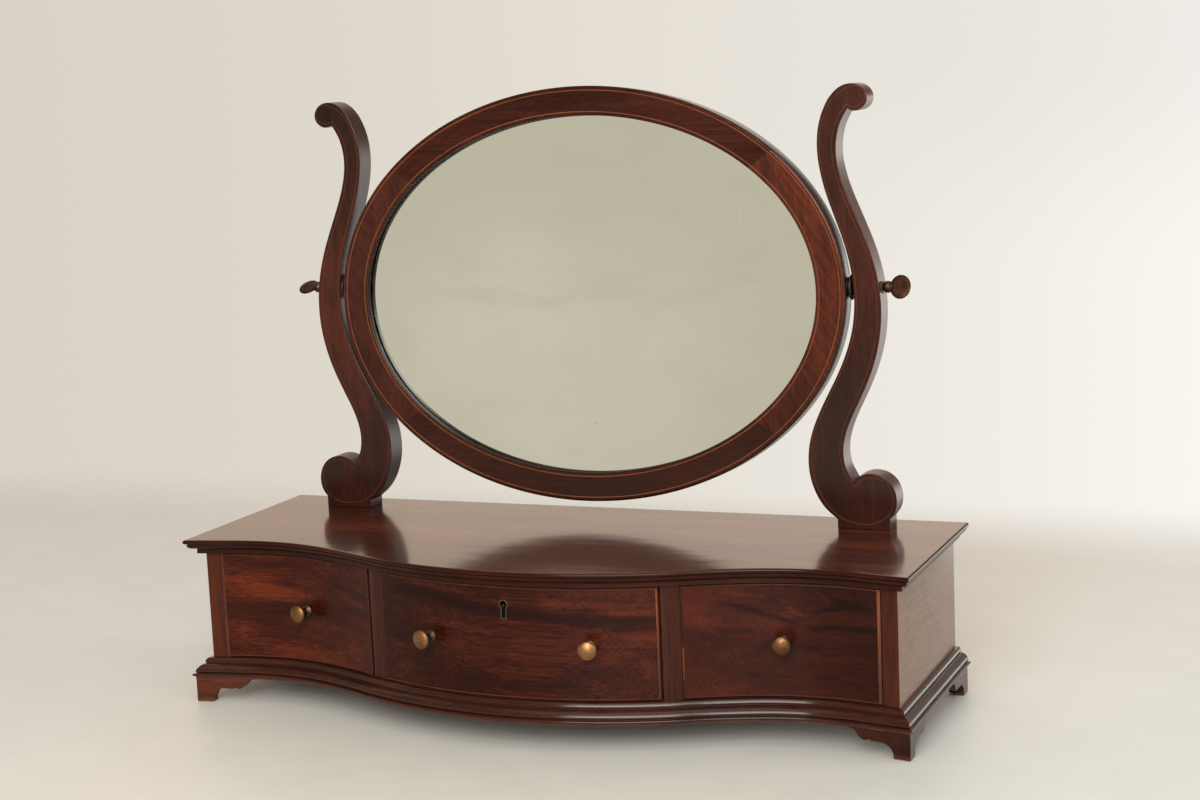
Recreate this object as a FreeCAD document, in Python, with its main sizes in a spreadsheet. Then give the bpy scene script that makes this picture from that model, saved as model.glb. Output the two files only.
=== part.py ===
import FreeCAD, Part
import Sketcher
import math
import os
from FreeCAD import Vector as V

# Dressing-table (toilet) mirror: an oval swing glass between two scrolled
# uprights on a serpentine-fronted box of three drawers on bracket feet.
# Millimetres.  X is the width, -Y the front, +Z up.  The origin is the
# bottom centre of the whole object, z = 0 is the underside of the feet.

doc = FreeCAD.newDocument("toilet_mirror")
sheet = doc.addObject("Spreadsheet::Sheet", "Dims")
VALUES = [
    # serpentine front, measured as distance inside the nose line of the top
    ("nose_y", -135.2), ("r_nose", 371.26), ("t_nose", 0.443), ("r_cove", 404.3),
    ("t_cove", 0.30), ("r_end", 181.4), ("t_end", 0.181),
    # carcass
    ("case_half", 336.2), ("top_over", 14.3), ("top_back_y", 135.2), ("case_back_y", 133.8),
    ("side_thk", 15.2), ("back_thk", 8.0), ("div_in", 134.0), ("div_out", 151.0),
    ("foot_h", 22.5), ("bottom_z", 30.0), ("mould_top", 40.7), ("case_top", 143.0), ("top_z", 157.4),
    # feet
    ("foot_out", 12.0), ("foot_thk", 9.0), ("foot_back_y", 129.8), ("block_w", 14.0), ("block_gap", 11.5),
    # drawers
    ("front_z0", 42.0), ("front_z1", 141.0), ("front_thk", 16.0), ("front_proud", 0.8), ("front_gap", 0.6),
    ("string_w", 1.2), ("string_deep", 1.5), ("lap", 8.0),
    ("dside_gap", 0.9), ("dside_thk", 7.0), ("dside_z0", 41.0), ("dside_z1", 137.0), ("dback_y", 116.8),
    ("dback_thk", 7.0), ("dback_z1", 133.0), ("dbot_z0", 46.0), ("dbot_thk", 4.0), ("groove", 3.0),
    ("stop_w", 22.0), ("stop_len", 16.0), ("stop_h", 3.5),
    ("knob_z", 90.2), ("knob_side_x", 233.5), ("knob_mid_x", 76.5),
    # keyhole and lock
    ("esc_head_z", 125.3), ("esc_head_dia", 9.0), ("esc_shank_w", 5.8), ("esc_foot_z", 112.2), ("esc_wall", 1.1),
    ("lock_w", 34.0), ("lock_z0", 108.0), ("lock_thk", 6.5), ("bolt_w", 12.0), ("bolt_thk", 2.8),
    ("bolt_z0", 117.0), ("bolt_z1", 140.6),
    # uprights
    ("up_front_y", 88.0), ("up_thk", 23.9), ("inlay_w", 1.0), ("inlay_deep", 1.2),
    ("screw_dia", 4.0), ("screw_in_x", 252.0), ("screw_out_x", 278.0), ("screw_y", 99.95),
    # swing glass
    ("tilt", 3.31), ("oval_y", 82.77), ("oval_z", 371.1), ("piv_y", 97.8), ("piv_z", 377.5),
    ("oval_a", 254.5), ("oval_b", 194.5), ("sight_a", 227.3), ("sight_b", 167.2),
    ("glass_a", 234.5), ("glass_b", 174.4), ("board_a", 241.0), ("board_b", 181.0),
    ("frame_thk", 22.0), ("lip_deep", 6.5), ("board_deep", 15.5), ("arris", 2.0),
    ("line1_a", 230.6), ("line1_b", 170.7), ("line2_a", 250.0), ("line2_b", 190.5), ("line_w", 1.0), ("line_deep", 1.0),
    ("plate_thk", 3.0), ("backing_thk", 5.0),
    # pivots
    ("pin_dia", 5.0), ("bore_dia", 5.1), ("nut_dia", 8.0), ("nut_len", 10.0), ("rim_flat_x", 253.4),
    ("flat_dia", 18.4), ("seat_x", 284.0), ("washer_dia", 10.6), ("washer_thk", 1.6), ("ball_dia", 10.8),
    ("blade_len", 18.6), ("blade_w", 21.9), ("blade_thk", 2.4),
]
for row, (name, value) in enumerate(VALUES, 1):
    sheet.set("A%d" % row, name)
    sheet.set("B%d" % row, str(value))
    sheet.setAlias("B%d" % row, name)
doc.recompute()


def q(name):
    return float(getattr(sheet, name))


NODES = {}      # node name -> document object


def node(obj, name):
    obj.Label = name
    NODES[name] = obj
    return obj


# ------------------------------------------------------------------ plan curve
# The front is one line of arcs: a bow in the middle (r_nose), a hollow either
# side (r_cove then r_end), and a short straight that flares out to the corner.
def key(d):
    R1, T1, R2, T2, R3, T3 = (q("r_nose"), q("t_nose"), q("r_cove"), q("t_cove"), q("r_end"), q("t_end"))
    y0 = q("nose_y")
    c1 = (0.0, y0 + R1)
    n1 = (R1 * math.sin(T1), c1[1] - R1 * math.cos(T1))
    c2 = (n1[0] + R2 * math.sin(T1), n1[1] - R2 * math.cos(T1))
    n2 = (c2[0] - R2 * math.sin(T2), c2[1] + R2 * math.cos(T2))
    c3 = (n2[0] + R3 * math.sin(T2), n2[1] - R3 * math.cos(T2))
    r1, r2, r3 = R1 - d, R2 + d, R3 + d
    p1 = r1 * math.sin(T1)
    p2 = c2[0] - r2 * math.sin(T2)
    p3 = c3[0] + r3 * math.sin(T3)
    y3 = c3[1] + r3 * math.cos(T3)
    return dict(c1=c1, r1=r1, c2=c2, r2=r2, c3=c3, r3=r3, p1=p1, p2=p2, p3=p3, y3=y3, slope=math.tan(T3))


def front_y(x, d):
    k = key(d)
    a = abs(x)
    if a <= k["p1"]:
        return k["c1"][1] - math.sqrt(k["r1"] ** 2 - a * a)
    if a <= k["p2"]:
        return k["c2"][1] + math.sqrt(k["r2"] ** 2 - (a - k["c2"][0]) ** 2)
    if a <= k["p3"]:
        return k["c3"][1] + math.sqrt(k["r3"] ** 2 - (a - k["c3"][0]) ** 2)
    return k["y3"] - (a - k["p3"]) * k["slope"]


def front_angle(x, d):
    e = 0.05
    return math.atan((front_y(x + e, d) - front_y(x - e, d)) / (2 * e))


def front_parts(d, x0, x1):
    k = key(d)
    brk = [-k["p3"], -k["p2"], -k["p1"], k["p1"], k["p2"], k["p3"]]
    xs = [x0] + [b for b in brk if x0 + 1e-6 < b < x1 - 1e-6] + [x1]
    out = []
    for a, b in zip(xs, xs[1:]):
        mid = (a + b) / 2
        am = abs(mid)
        kind = "nose" if am < k["p1"] else "cove" if am < k["p2"] else "end" if am < k["p3"] else "line"
        out.append((kind, a, b))
    return out, k


def front_edges(d, x0, x1, z=0.0):
    parts, k = front_parts(d, x0, x1)
    edges = []
    for kind, a, b in parts:
        pa, pb = V(a, front_y(a, d), z), V(b, front_y(b, d), z)
        if kind == "line":
            edges.append(Part.LineSegment(pa, pb).toShape())
        else:
            m = (a + b) / 2
            edges.append(Part.Arc(pa, V(m, front_y(m, d), z), pb).toShape())
    return edges


def front_geometry(d, x0, x1):
    # the same run as sketch geometry, with the sheet name of each arc's radius
    parts, k = front_parts(d, x0, x1)
    out = []
    for kind, a, b in parts:
        pa, pb = V(a, front_y(a, d), 0), V(b, front_y(b, d), 0)
        if kind == "line":
            out.append((Part.LineSegment(pa, pb), None))
            continue
        if kind == "nose":
            c, r, name, sign = V(0, k["c1"][1], 0), k["r1"], "r_nose", -1
            t0, t1 = math.atan2(pa.y - c.y, pa.x - c.x), math.atan2(pb.y - c.y, pb.x - c.x)
        else:
            kc, r, name, sign = (k["c2"], k["r2"], "r_cove", 1) if kind == "cove" else (k["c3"], k["r3"], "r_end", 1)
            c = V(math.copysign(kc[0], (a + b) / 2), kc[1], 0)
            t0, t1 = math.atan2(pb.y - c.y, pb.x - c.x), math.atan2(pa.y - c.y, pa.x - c.x)
        out.append((Part.ArcOfCircle(Part.Circle(c, V(0, 0, 1), r), t0, t1), "Dims.%s %s %.3f" % (name, "+" if sign > 0 else "-", d)))
    return out


D0 = q("top_over")                    # the carcass front lies this far inside the nose line
D_FACE = D0 - q("front_proud")        # drawer faces
D_BACK = D_FACE + q("front_thk")      # backs of the drawer fronts


# --------------------------------------------------------------- small helpers
def body(label):
    b = doc.addObject("PartDesign::Body", label)
    b.Label = label
    return b


def origin_plane(b, role):
    for feature in b.Origin.OriginFeatures:
        if feature.Role == role:
            return feature


def sketch(b, role="XY_Plane", offset=None, name="outline"):
    s = b.newObject("Sketcher::SketchObject", b.Name + "_" + name)
    s.AttachmentSupport = [(origin_plane(b, role), "")]
    s.MapMode = "FlatFace"
    if offset is not None:
        s.setExpression("AttachmentOffset.Base.z", offset)
    return s


def rectangle(s, x0, x1, y0, y1):
    # four lines held by distances from the origin, each bound to the sheet
    a, b, c, d = [float(sheet.evalExpression(e)) for e in (x0, x1, y0, y1)]
    n = s.GeometryCount
    pts = [V(a, c, 0), V(b, c, 0), V(b, d, 0), V(a, d, 0)]
    for i in range(4):
        s.addGeometry(Part.LineSegment(pts[i], pts[(i + 1) % 4]), False)
    for i in range(4):
        s.addConstraint(Sketcher.Constraint("Coincident", n + i, 2, n + (i + 1) % 4, 1))
    s.addConstraint(Sketcher.Constraint("Horizontal", n))
    s.addConstraint(Sketcher.Constraint("Vertical", n + 1))
    s.addConstraint(Sketcher.Constraint("Horizontal", n + 2))
    s.addConstraint(Sketcher.Constraint("Vertical", n + 3))
    for kind, geo, pos, value, expr in (("DistanceX", n, 1, a, x0), ("DistanceX", n, 2, b, x1),
                                        ("DistanceY", n, 1, c, y0), ("DistanceY", n + 1, 2, d, y1)):
        i = s.addConstraint(Sketcher.Constraint(kind, -1, 1, geo, pos, value))
        s.setExpression("Constraints[%d]" % i, expr)


def pad(b, s, length, name="pad", **kw):
    p = b.newObject("PartDesign::Pad", b.Name + "_" + name)
    p.Profile = s
    p.setExpression("Length", length)
    for k, v in kw.items():
        setattr(p, k, v)
    s.Visibility = False
    return p


def box(label, x0, x1, y0, y1, z0, z1, is_node=True):
    b = body(label)
    s = sketch(b, "XY_Plane", z0)
    rectangle(s, x0, x1, y0, y1)
    pad(b, s, "(%s) - (%s)" % (z1, z0))
    return node(b, label) if is_node else b


def plan_piece(label, d, x0, x1, back, z0, z1, is_node=True, d_back=None):
    """A board whose front edge is the serpentine line d inside the nose."""
    b = body(label)
    s = sketch(b, "XY_Plane", z0)
    geos = front_geometry(d, x0, x1)
    pl, pr = V(x0, front_y(x0, d), 0), V(x1, front_y(x1, d), 0)
    if d_back is None:
        bl, br = V(x0, back, 0), V(x1, back, 0)
        rear = [(Part.LineSegment(bl, br), None)]
    else:
        bl, br = V(x0, front_y(x0, d_back), 0), V(x1, front_y(x1, d_back), 0)
        rear = front_geometry(d_back, x0, x1)
    everything = geos + [(Part.LineSegment(pr, br), None)] + rear + [(Part.LineSegment(bl, pl), None)]
    for g, expr in everything:
        i = s.addGeometry(g, False)
        if expr:
            c = s.addConstraint(Sketcher.Constraint("Radius", i, g.Circle.Radius if hasattr(g, "Circle") else g.Radius))
            s.setExpression("Constraints[%d]" % c, expr)
        elif isinstance(g, Part.LineSegment) and abs(g.StartPoint.x - g.EndPoint.x) < 1e-9:
            s.addConstraint(Sketcher.Constraint("Vertical", i))
    pad(b, s, "(%s) - (%s)" % (z1, z0))
    return node(b, label) if is_node else b


def shape_of(obj):
    doc.recompute()
    return obj.Shape


def made(label, shape):
    f = doc.addObject("Part::Feature", label)
    f.Shape = shape
    return node(f, label)


def hidden(label, shape):
    f = doc.addObject("Part::Feature", label)
    f.Label = label
    f.Shape = shape
    return f


def cut(label, base, tools):
    """base with every tool taken out of it, as one node"""
    if len(tools) > 1:
        t = doc.addObject("Part::Compound", label + "_tools")
        t.Links = tools
    else:
        t = tools[0]
    c = doc.addObject("Part::Cut", label + "_cut")
    c.Base = base
    c.Tool = t
    return node(c, label)


def group(label, members):
    g = doc.addObject("Part::Compound", label + "_group")
    g.Links = members
    return node(g, label)


def cylinder(label, radius, height, at, direction):
    c = doc.addObject("Part::Cylinder", label)
    c.setExpression("Radius", radius)
    c.setExpression("Height", height)
    c.Placement = FreeCAD.Placement(at, FreeCAD.Rotation(V(0, 0, 1), direction))
    return c


def prism_xy(points, z0, z1):
    w = Part.makePolygon([V(x, y, z0) for x, y in points] + [V(points[0][0], points[0][1], z0)])
    return Part.Face(w).extrude(V(0, 0, z1 - z0))


def prism_xz(points, y0, y1):
    w = Part.makePolygon([V(x, y0, z) for x, z in points] + [V(points[0][0], y0, points[0][1])])
    return Part.Face(w).extrude(V(0, y1 - y0, 0))


def prism_yz(points, x0, x1):
    w = Part.makePolygon([V(x0, y, z) for y, z in points] + [V(x0, points[0][0], points[0][1])])
    return Part.Face(w).extrude(V(x1 - x0, 0, 0))


def spline(points):
    c = Part.BSplineCurve()
    c.interpolate([p if isinstance(p, V) else V(*p) for p in points])
    return c


# ---------------------------------------------------------------- mould sweeps
MITRE = q("case_half")
Y_CORNER = front_y(MITRE, D0)
SLOPE = math.tan(q("t_end"))
K_MITRE = SLOPE + math.sqrt(1 + SLOPE * SLOPE)


def swept_front(profile):
    """profile of (outward, z) points carried along the carcass front"""
    path = Part.Wire(front_edges(D0, -390.0, 390.0))
    start = V(-390.0, front_y(-390.0, D0), 0)
    t = V(1, SLOPE, 0).normalize()
    n = V(t.y, -t.x, 0)
    pts = [start + n * o + V(0, 0, z) for o, z in profile]
    return path.makePipeShell([Part.makePolygon(pts + [pts[0]])], True, True, 1)


def swept_side(profile, sign, y0, y1):
    return prism_xz([(sign * (MITRE + o), z) for o, z in profile], y0, y1)


REGION_FRONT = prism_xy([(MITRE, Y_CORNER), (MITRE + 60, Y_CORNER - 60 * K_MITRE), (MITRE + 60, -400), (-MITRE - 60, -400),
                         (-MITRE - 60, Y_CORNER - 60 * K_MITRE), (-MITRE, Y_CORNER), (-MITRE + 8, 60), (MITRE - 8, 60)], -10, 300)


def region_side(sign, y1):
    return prism_xy([(sign * MITRE, Y_CORNER), (sign * (MITRE + 60), Y_CORNER - 60 * K_MITRE), (sign * (MITRE + 60), y1), (sign * (MITRE - 30), y1),
                     (sign * (MITRE - 30), Y_CORNER)], -10, 300)


# ==================================================================== carcass
zt = q("top_z")
zc = q("case_top")
# Edge of the top: a rounded nose, a quirk, an ovolo, a step and a small fillet.
ovolo = [(7.0 + 5.2 * math.sin(a), zc + 10.2 - 5.2 * math.cos(a)) for a in [math.pi / 2 * i / 6 for i in range(7)]]
nose = [(13.4, zc + 10.5), (14.0, zc + 11.3), (14.3, zc + 12.4), (14.1, zc + 13.3), (13.2, zt)]
top_cut = [(25.0, zc - 3), (5.6, zc - 3), (5.6, zc + 4.6), (7.0, zc + 5.0)] + ovolo[1:] + nose + [(13.2, zt + 3), (25.0, zt + 3)]
xe = MITRE + q("top_over")
slab_edges = front_edges(0.0, -xe, xe, zc)
slab_edges += [Part.LineSegment(V(xe, front_y(xe, 0), zc), V(xe, q("top_back_y"), zc)).toShape(),
               Part.LineSegment(V(xe, q("top_back_y"), zc), V(-xe, q("top_back_y"), zc)).toShape(),
               Part.LineSegment(V(-xe, q("top_back_y"), zc), V(-xe, front_y(-xe, 0), zc)).toShape()]
slab = Part.Face(Part.Wire(slab_edges)).extrude(V(0, 0, zt - zc))
slab = slab.cut(swept_front(top_cut))
for sign in (1, -1):
    slab = slab.cut(swept_side(top_cut, sign, -300, 300))
top_blank = hidden("top_board_moulded", slab)

for side, sign in (("left", -1), ("right", 1)):
    a, b = sorted((sign * q("case_half"), sign * (q("case_half") - q("side_thk"))))
    plan_piece("side_panel_" + side, D0, a, b, q("case_back_y"), "Dims.foot_h", "Dims.case_top")
    a, b = sorted((sign * q("div_in"), sign * q("div_out")))
    plan_piece("divider_" + side, D0, a, b, q("case_back_y") - q("back_thk"), "Dims.mould_top", "Dims.case_top")
inner = q("case_half") - q("side_thk")
plan_piece("bottom_board", D0, -inner, inner, q("case_back_y") - q("back_thk"), "Dims.bottom_z", "Dims.mould_top")
box("back_board", "Dims.side_thk - Dims.case_half", "Dims.case_half - Dims.side_thk",
    "Dims.case_back_y - Dims.back_thk", "Dims.case_back_y", "Dims.bottom_z", "Dims.case_top")

# Base moulding: ogee, quirk and bead over a plinth strip, mitred at the corners.
zm = q("mould_top")
zf = q("foot_h")
base_profile = [(0.0, zf), (12.0, zf), (12.0, zf + 2.0), (13.8, zf + 2.5), (14.2, zf + 3.4), (14.2, zf + 4.4), (13.6, zf + 5.8), (10.9, zf + 6.1),
                (10.2, zf + 7.3), (9.6, zf + 8.8), (8.6, zf + 10.4), (7.2, zf + 11.9), (5.7, zf + 13.6), (5.3, zf + 15.3), (4.6, zf + 17.4), (3.6, zm), (0.0, zm)]
made("base_moulding_front", swept_front(base_profile).common(REGION_FRONT))
for side, sign in (("left", -1), ("right", 1)):
    made("base_moulding_" + side, swept_side(base_profile, sign, -200, q("case_back_y")).common(region_side(sign, q("case_back_y"))))

# Bracket feet: two mitred pieces at each corner, cut to an ogee, on glue blocks.
fo, ft = q("foot_out"), q("foot_thk")
xf = MITRE + fo
yf = Y_CORNER - fo * K_MITRE
yb = q("foot_back_y")


def bracket_wire(place):
    """place(u, z): u is the distance in from the corner of the foot"""
    def p(u, z):
        return place(u, z)
    e = [Part.LineSegment(p(0, 0), p(15.7, 0)).toShape(),
         spline([p(15.7, 0), p(15.8, 4.2), p(18.6, 9.3), p(24.7, 12.8)]).toShape(),
         Part.LineSegment(p(24.7, 12.8), p(36.7, 12.8)).toShape(),
         Part.LineSegment(p(36.7, 12.8), p(37.8, 14.2)).toShape(),
         spline([p(37.8, 14.2), p(40.2, 12.9), p(43.7, 13.0), p(47.9, 16.5), p(52.2, 21.4), p(59.2, zf)]).toShape(),
         Part.LineSegment(p(59.2, zf), p(0, zf)).toShape(),
         Part.LineSegment(p(0, zf), p(0, 0)).toShape()]
    return Part.Face(Part.Wire(e))


def curve_band(d0, d1, x0, x1, z0, z1):
    e = front_edges(d0, x0, x1, z0) + [Part.LineSegment(V(x1, front_y(x1, d0), z0), V(x1, front_y(x1, d1), z0)).toShape()]
    e += front_edges(d1, x0, x1, z0) + [Part.LineSegment(V(x0, front_y(x0, d0), z0), V(x0, front_y(x0, d1), z0)).toShape()]
    return Part.Face(Part.Wire(Part.__sortEdges__(e))).extrude(V(0, 0, z1 - z0))


for side, sign in (("left", -1), ("right", 1)):
    xs = sorted((sign * 280.0, sign * 372.0))
    band = curve_band(D0 - fo, D0 - fo + ft, xs[0], xs[1], 0, zf)
    face = bracket_wire(lambda u, z: V(sign * (xf - u), -300, z)).extrude(V(0, 320, 0))
    front = band.common(face).common(REGION_FRONT)
    side_slab = Part.makeBox(ft, 260, zf, V(xf - ft if sign > 0 else -xf, yf - 30, 0))
    flank = side_slab.common(bracket_wire(lambda u, z: V(sign * 300, yf + u, z)).extrude(V(sign * 80, 0, 0))).common(region_side(sign, 60))
    made("foot_front_%s_brackets" % side, Part.makeCompound([front, flank]))
    # rear corner: a plain mitre at 45 degrees
    mitre_side = prism_xy([(sign * xf, yb), (sign * (xf - 40), yb - 40), (sign * (xf - 40), yb - 120), (sign * (xf + 5), yb - 120), (sign * (xf + 5), yb + 5)], -5, 60)
    mitre_back = prism_xy([(sign * xf, yb), (sign * (xf - 40), yb - 40), (sign * (xf - 120), yb - 40), (sign * (xf - 120), yb + 5), (sign * (xf + 5), yb + 5)], -5, 60)
    rear_side = Part.makeBox(ft, 120, zf, V(xf - ft if sign > 0 else -xf, yb - 120, 0)).common(
        bracket_wire(lambda u, z: V(sign * 300, yb - u, z)).extrude(V(sign * 80, 0, 0))).common(mitre_side)
    rear_back = Part.makeBox(120, ft, zf, V(min(sign * xf, sign * (xf - 120)), yb - ft, 0)).common(
        bracket_wire(lambda u, z: V(sign * (xf - u), yb - 30, z)).extrude(V(0, 60, 0))).common(mitre_back)
    made("foot_rear_%s_brackets" % side, Part.makeCompound([rear_side, rear_back]))

blocks = []
for side, sign in (("left", -1), ("right", 1)):
    w = q("block_w")
    x0, x1 = sorted((sign * (xf - ft), sign * (xf - ft - w)))
    d = D0 - fo + ft
    b = body("glue_block_front_" + side)
    s = sketch(b, "XY_Plane", "Dims.block_gap")
    yy = front_y(sign * (xf - ft - w), d) + w
    pts = [V(x0, front_y(x0, d), 0), V(x1, front_y(x1, d), 0), V(x1, yy, 0), V(x0, yy, 0)]
    for i in range(4):
        s.addGeometry(Part.LineSegment(pts[i], pts[(i + 1) % 4]), False)
    pad(b, s, "Dims.foot_h - Dims.block_gap")
    blocks.append(b)
    xa, xb = ("Dims.case_half + Dims.foot_out - Dims.foot_thk - Dims.block_w", "Dims.case_half + Dims.foot_out - Dims.foot_thk")
    if sign < 0:
        xa, xb = "-(%s)" % xb, "-(%s)" % xa
    blocks.append(box("glue_block_rear_" + side, xa, xb, "Dims.foot_back_y - Dims.foot_thk - Dims.block_w", "Dims.foot_back_y - Dims.foot_thk",
                      "Dims.block_gap", "Dims.foot_h", is_node=False))
group("foot_glue_blocks", blocks)

# ==================================================================== drawers
DRAWERS = (("left", -(MITRE - q("side_thk")), -q("div_out"), [-q("knob_side_x")]),
           ("center", -q("div_in"), q("div_in"), [-q("knob_mid_x"), q("knob_mid_x")]),
           ("right", q("div_out"), MITRE - q("side_thk"), [q("knob_side_x")]))
Z0, Z1 = q("front_z0"), q("front_z1")

# turned brass knob: rose, neck and domed head on a threaded shank (radius, outward)
KNOB = [(0, -20.6), (2.0, -20.6), (2.0, 0.05), (5.9, 0.05), (5.9, 0.9), (5.3, 1.8), (3.7, 2.5), (2.8, 4.0), (2.6, 6.4), (3.2, 8.6),
        (6.2, 10.3), (8.2, 11.5), (8.7, 12.8), (8.35, 14.4), (7.0, 16.1), (4.8, 17.4), (2.3, 18.2), (0, 18.4)]


def turned(label, points, place, axis="V_Axis", flip=True):
    """a solid of revolution about its own Y axis; points are (radius, outward = -Y)"""
    b = body(label)
    s = sketch(b, "XY_Plane")
    pts = [V(r, -t, 0) for r, t in points]
    for i in range(len(pts)):
        s.addGeometry(Part.LineSegment(pts[i], pts[(i + 1) % len(pts)]), False)
    r = b.newObject("PartDesign::Revolution", b.Name + "_turn")
    r.Profile = s
    r.ReferenceAxis = (s, [axis])
    r.Angle = 360.0
    s.Visibility = False
    b.Placement = place
    return b


stops = []
lock_y = front_y(0, D_BACK) - 4.0         # front of the lock case, let 4 mm into the drawer front
for name, x0, x1, knobs in DRAWERS:
    p = "drawer_" + name
    xa, xb = x0 + q("front_gap"), x1 - q("front_gap")
    blank = plan_piece(p + "_front_blank", D_FACE, xa, xb, 0, "Dims.front_z0", "Dims.front_z1", False, d_back=D_BACK)
    # cock string let in flush round the edge of the face
    skin = curve_band(D_FACE, D_FACE + q("string_deep"), xa, xb, Z0, Z1)
    sw = q("string_w")
    window = Part.makeBox(xb - xa - 2 * sw, 300, Z1 - Z0 - 2 * sw, V(xa + sw, -250, Z0 + sw))
    strings = made(p + "_stringing", skin.cut(window))
    # bottom board in grooves
    ia, ib = x0 + q("dside_gap") + q("dside_thk"), x1 - q("dside_gap") - q("dside_thk")
    g = q("groove")
    bottom = plan_piece(p + "_bottom", D_BACK - 4.0, ia - g, ib + g, q("dback_y"), "Dims.dbot_z0", "Dims.dbot_z0 + Dims.dbot_thk")
    back = box(p + "_back", "%.3f" % ia, "%.3f" % ib, "Dims.dback_y - Dims.dback_thk", "Dims.dback_y", "Dims.dbot_z0 + Dims.dbot_thk", "Dims.dback_z1")
    # sides: board plus three lapped dovetails into the front
    sides = []
    for tag, sa, sb in (("a", x0 + q("dside_gap"), ia), ("b", ib, x1 - q("dside_gap"))):
        z0, z1 = q("dside_z0"), q("dside_z1")
        board = curve_band(D_BACK, D_BACK + 0.01, sa, sb, z0, z1)
        e = front_edges(D_BACK, sa, sb, z0)
        e += [Part.LineSegment(V(sb, front_y(sb, D_BACK), z0), V(sb, q("dback_y"), z0)).toShape(),
              Part.LineSegment(V(sb, q("dback_y"), z0), V(sa, q("dback_y"), z0)).toShape(),
              Part.LineSegment(V(sa, q("dback_y"), z0), V(sa, front_y(sa, D_BACK), z0)).toShape()]
        board = Part.Face(Part.Wire(e)).extrude(V(0, 0, z1 - z0))
        zone = curve_band(D_BACK - q("lap"), D_BACK + 1.0, sa, sb, z0, z1)
        ym = front_y((sa + sb) / 2, D_BACK)
        tails = []
        for zc_ in (z0 + 17.5, z0 + 46.0, z0 + 77.0):
            tails.append(prism_yz([(ym - 12.0, zc_ - 12.5), (ym + 3.5, zc_ - 8.6), (ym + 3.5, zc_ + 8.6), (ym - 12.0, zc_ + 12.5)], sa, sb))
        tail = zone.common(tails[0].fuse(tails[1:]))
        side = board.fuse(tail).removeSplitter()
        side = side.cut(shape_of(bottom))
        sides.append(hidden("%s_side_%s" % (p, tag), side))
    pair = group(p + "_sides", sides)
    tools = [strings, pair, bottom]
    # knobs, their holes and nuts
    made_knobs, nuts = [], []
    for i, kx in enumerate(knobs):
        ang = math.degrees(front_angle(kx, D_FACE))
        place = FreeCAD.Placement(V(kx, front_y(kx, D_FACE), q("knob_z")), FreeCAD.Rotation(V(0, 0, 1), ang))
        made_knobs.append(turned("%s_knob_%d" % (p, i + 1), KNOB, place))
        nut_pts = [(2.05, -16.1), (5.2, -16.1), (5.2, -18.4), (4.6, -19.1), (2.05, -19.1)]
        nuts.append(turned("%s_nut_%d" % (p, i + 1), nut_pts, place))
        out = FreeCAD.Rotation(V(0, 0, 1), ang).multVec(V(0, -1, 0))
        hole = cylinder("%s_knob_hole_%d" % (p, i + 1), "2.1", "30", V(kx, front_y(kx, D_FACE), q("knob_z")) + out * 5, -out)
        tools.append(hole)
    if len(made_knobs) > 1:
        group(p + "_knobs", made_knobs)
        group(p + "_knob_nuts", nuts)
    else:
        node(made_knobs[0], p + "_knob")
        node(nuts[0], p + "_knob_nut")
    if name == "center":
        # keyhole escutcheon: a brass rim let into the face, and the lock behind it
        zh, rh, ws, zb_ = q("esc_head_z"), q("esc_head_dia") / 2, q("esc_shank_w") / 2, q("esc_foot_z")

        def keyhole(shrink, y):
            r, w, zb2 = rh - shrink, ws - shrink, zb_ + shrink
            zj = zh - math.sqrt(r * r - w * w)
            e = [Part.Arc(V(-w, y, zj), V(0, y, zh + r), V(w, y, zj)).toShape(),
                 Part.LineSegment(V(w, y, zj), V(w, y, zb2)).toShape(),
                 Part.LineSegment(V(w, y, zb2), V(-w, y, zb2)).toShape(),
                 Part.LineSegment(V(-w, y, zb2), V(-w, y, zj)).toShape()]
            return Part.Face(Part.Wire(e))
        yf0 = front_y(0, D_FACE)
        outer = keyhole(0, yf0 - 0.6).extrude(V(0, 4.6, 0))
        hole_in = keyhole(q("esc_wall"), yf0 - 2).extrude(V(0, lock_y + 1.6 - (yf0 - 2), 0))
        made("keyhole_escutcheon", outer.cut(hole_in))
        rough = keyhole(0, yf0 - 2).extrude(V(0, 2 + 4.0, 0)).fuse(hole_in)
        tools.append(hidden("keyhole_cut", rough))
        lw, lz0, lt = q("lock_w"), q("lock_z0"), q("lock_thk")
        case = Part.makeBox(lw, lt, Z1 - lz0, V(-lw / 2, lock_y, lz0))
        bw, bt = q("bolt_w"), q("bolt_thk")
        y_bolt = lock_y + 2.1
        slot = Part.makeBox(bw + 0.6, bt + 0.6, Z1 - q("bolt_z0") + 2, V(-bw / 2 - 0.3, y_bolt - 0.3, q("bolt_z0") - 1))
        screws = []
        for sx in (-1, 1):
            for sz in (lz0 + 4.5, Z1 - 6.0):
                head = Part.makeCylinder(2.3, 0.9, V(sx * 13.0, lock_y + lt, sz), V(0, 1, 0))
                shank = Part.makeCylinder(1.0, lt + 4.5, V(sx * 13.0, lock_y - 4.5, sz), V(0, 1, 0))
                screws.append(head.fuse(shank).removeSplitter())
        lock_screws = made("lock_screws", Part.makeCompound(screws))
        lock_blank = hidden("lock_case_blank", case.cut(slot).cut(hole_in))
        lock_case = cut("lock_case", lock_blank, [lock_screws])
        tools += [hidden("lock_mortise", case), lock_screws]
        box("lock_bolt", "-Dims.bolt_w / 2", "Dims.bolt_w / 2", "%.3f" % y_bolt, "%.3f + Dims.bolt_thk" % y_bolt, "Dims.bolt_z0", "Dims.bolt_z1")
        bolt_mortise = Part.makeBox(bw + 1.2, bt + 1.0, 6.2, V(-bw / 2 - 0.6, y_bolt - 0.5, zc - 1.0))
    cut(p + "_front", blank, tools)
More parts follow.
